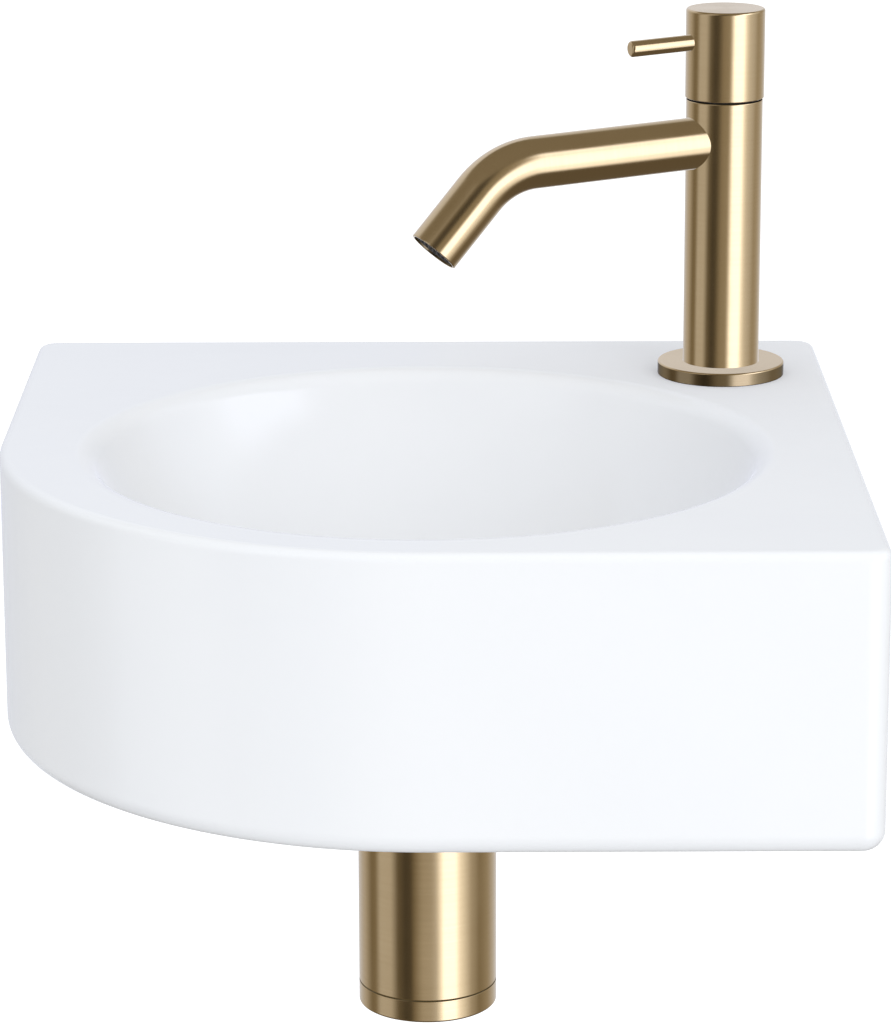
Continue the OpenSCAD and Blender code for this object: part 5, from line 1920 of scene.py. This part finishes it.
@dataclass
class Studio:
    """Camera, lamp, world and floor for the photograph's view. Lengths in metres, angles in degrees.

    Attributes:
        lens: Focal length in mm on a sensor 36 mm wide.
        pitch: How far the camera looks down.
        yaw: How far it is turned to the right.
        roll: How far it is rolled.
        camera: Where it stands.
        floor_z: Height of the floor.
        lamp: Where the lamp hangs.
        lamp_aim: What it points at.
        lamp_size: Its width.
        lamp_power: Its power in watts.
        sky: Level of the soft light that matt surfaces get from the room.
        slope: How that light grows along each axis.
    """

    lens: float = 148.46
    pitch: float = 15.231
    yaw: float = 0.1455
    roll: float = -0.1507
    camera: tuple[float, float, float] = (0.00325, -1.61252, 0.42929)
    floor_z: float = -0.62
    sky: float = 0.74
    slope: tuple[float, float, float] = (-0.10, -0.39, 0.41)
    lamp: tuple[float, float, float] = (1.15, -1.85, 0.78)
    lamp_aim: tuple[float, float, float] = (0.0, -0.15, 0.0)
    lamp_size: float = 1.2
    lamp_power: float = 9.9

    def build(self) -> None:
        """Sets up everything that isn't part of the object."""
        self.place_camera()
        self.hang_lamp()
        self.paint_world()
        self.lay_floor()
        bpy.context.scene.view_settings.view_transform = "Standard"

    def place_camera(self) -> None:
        """Points the camera down by the pitch, turned by the yaw and rolled by the roll."""
        p, y, r = (math.radians(v) for v in (self.pitch, self.yaw, self.roll))
        ahead = Vector((math.sin(y) * math.cos(p), math.cos(y) * math.cos(p), -math.sin(p)))
        right = Vector((math.cos(y), -math.sin(y), 0.0))
        up = right.cross(ahead)
        right2 = math.cos(r) * right + math.sin(r) * up
        up2 = -math.sin(r) * right + math.cos(r) * up
        data = bpy.data.cameras.new("photo_camera")
        data.sensor_width = 36.0
        data.lens = self.lens
        data.clip_start, data.clip_end = 0.01, 100.0
        camera = bpy.data.objects.new("photo_camera", data)
        camera.matrix_world = Matrix((
            (right2.x, up2.x, -ahead.x, self.camera[0]),
            (right2.y, up2.y, -ahead.y, self.camera[1]),
            (right2.z, up2.z, -ahead.z, self.camera[2]),
            (0.0, 0.0, 0.0, 1.0),
        ))
        bpy.context.scene.collection.objects.link(camera)
        bpy.context.scene.camera = camera

    def hang_lamp(self) -> None:
        """Hangs one wide soft lamp in front on the right."""
        data = bpy.data.lights.new("front_lamp", "AREA")
        data.shape = "DISK"
        data.size = self.lamp_size
        data.energy = self.lamp_power
        lamp = bpy.data.objects.new("front_lamp", data)
        lamp.location = self.lamp
        aim = Vector(self.lamp_aim) - Vector(self.lamp)
        lamp.rotation_mode = "QUATERNION"
        lamp.rotation_quaternion = aim.to_track_quat("-Z", "Y")
        lamp.visible_glossy = False
        bpy.context.scene.collection.objects.link(lamp)

    def paint_world(self) -> None:
        """Paints a pale room. Metal and glaze see its panels and the darker gaps between them.

        The panels are bands round the upright axis: the angle is atan2(x, -y), 0 towards the camera,
        less 0.8 times the height of the direction over -0.26, so they lean to the right as they rise.
        A colour ramp gives each band its level. A second set of bands takes over for the directions
        that fall more steeply, and all fade into shade high above and far below. Matt surfaces get an
        even light of strength max(0, 1 + slope . direction) instead, and the camera sees white.
        """
        world = bpy.data.worlds.new("pale_room")
        bench = NodeBench(world)
        bpy.context.scene.world = world
        split = bench.node("ShaderNodeSeparateXYZ")
        bench.put(bench.node("ShaderNodeTexCoord").outputs["Generated"], split.inputs[0])
        x, y, z = split.outputs
        turn = bench.number("ARCTAN2", x, bench.number("MULTIPLY", y, -1.0))
        rise = bench.number("MINIMUM", bench.number("MAXIMUM", bench.number("ADD", z, 0.26), 0.0), 0.75)
        leaning = bench.number("MULTIPLY_ADD", rise, -0.8, turn)
        around = bench.number("MULTIPLY_ADD", leaning, 1.0 / FULL_TURN, 0.5)
        low = bench.spread(z, 0.0, 1.0, -0.25, -0.33, "SMOOTHSTEP")
        lit = bench.blend(low, self.ramp(bench, around, LEVEL_BANDS), self.ramp(bench, around, LOW_BANDS))
        for start, end, shade in SHADES:
            lit = bench.blend(bench.spread(z, 0.0, 1.0, start, end, "SMOOTHSTEP"), lit, shade)
        level = 1.0
        for part, gain in zip((x, y, z), self.slope):
            level = bench.number("MULTIPLY_ADD", part, gain, level)
        pale = (self.sky * 0.985, self.sky * 0.995, self.sky)
        soft = bench.made("ShaderNodeBackground", pale, bench.number("MAXIMUM", level, 0.0))
        path = bench.node("ShaderNodeLightPath").outputs
        seen = bench.made("ShaderNodeMixShader", path["Is Glossy Ray"], soft, bench.made("ShaderNodeBackground", lit))
        white = bench.made("ShaderNodeBackground", (1.0, 1.0, 1.0))
        last = bench.made("ShaderNodeMixShader", path["Is Camera Ray"], seen, white)
        bench.finish(last, "ShaderNodeOutputWorld")

    @staticmethod
    def ramp(bench: NodeBench, around: Socket, bands: tuple[tuple[float, float], ...]) -> Socket:
        """A colour ramp round the room: dim bands are warmer and bright ones cooler than grey.

        Args:
            bench: The world's bench.
            around: The direction's angle, from 0 at -180 degrees to 1 at 180.
            bands: Angle in degrees and level of each stop.

        Returns:
            The colour socket.
        """
        made = bench.node("ShaderNodeValToRGB")
        bench.put(around, made.inputs[0])
        stops = made.color_ramp.elements
        while len(stops) < len(bands):
            stops.new(0.5)
        for stop, (degrees, level) in zip(stops, bands):
            stop.position = (degrees + 180.0) / 360.0
            warm = min(1.0, max(0.0, (0.6 - level) / 0.4))
            cool = max(0.0, abs(degrees) - 120.0) / 60.0 * (1.0 - warm) + min(1.0, max(0.0, level - 1.0))
            red, green, blue = 1.0 + 0.12 * warm - 0.03 * cool, 1.0 - 0.06 * warm, 1.0 - 0.36 * warm + 0.12 * cool
            stop.color = (level * red, level * green, level * blue, 1.0)
        return made.outputs[0]

    def lay_floor(self) -> None:
        """Lays a pale floor well below the basin, seen from above only."""
        corners = 9.0 * np.array([[-1, -1], [1, -1], [1, 1], [-1, 1]])
        mesh = bpy.data.meshes.new("floor")
        mesh.from_pydata(np.column_stack([corners, np.full(4, self.floor_z)]), [], [[0, 1, 2, 3]])
        material = bpy.data.materials.new("pale_floor")
        bench = NodeBench(material)
        matt = bench.made("ShaderNodeBsdfDiffuse", (0.86, 0.86, 0.86))
        seen = bench.node("ShaderNodeLightPath").outputs["Is Camera Ray"]
        glow = bench.made("ShaderNodeEmission", (0.38, 0.38, 0.38), seen)
        both = bench.made("ShaderNodeAddShader", matt, glow)
        under = bench.node("ShaderNodeNewGeometry").outputs["Backfacing"]
        clear = bench.made("ShaderNodeBsdfTransparent")
        bench.finish(bench.made("ShaderNodeMixShader", under, both, clear))
        mesh.materials.append(material)
        floor = bpy.data.objects.new("floor", mesh)
        bpy.context.scene.collection.objects.link(floor)
        floor.visible_glossy = False


def main() -> None:
    """Loads the frame, dresses it piece by piece and sets up the studio."""
    logging.basicConfig(level=logging.INFO, format="%(name)s: %(message)s")
    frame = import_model()
    shelf = FinishShelf()
    shelf.dress_carried(frame)
    CeramicBasin().build(shelf)
    tap = PillarTap()
    tap.build(shelf)
    TapHandle(tap).build(shelf)
    TapFixing(tap).build(shelf)
    BasinWaste().build(shelf)
    BottleTrap().build(shelf)
    Studio().build()


if __name__ == "__main__":
    main()
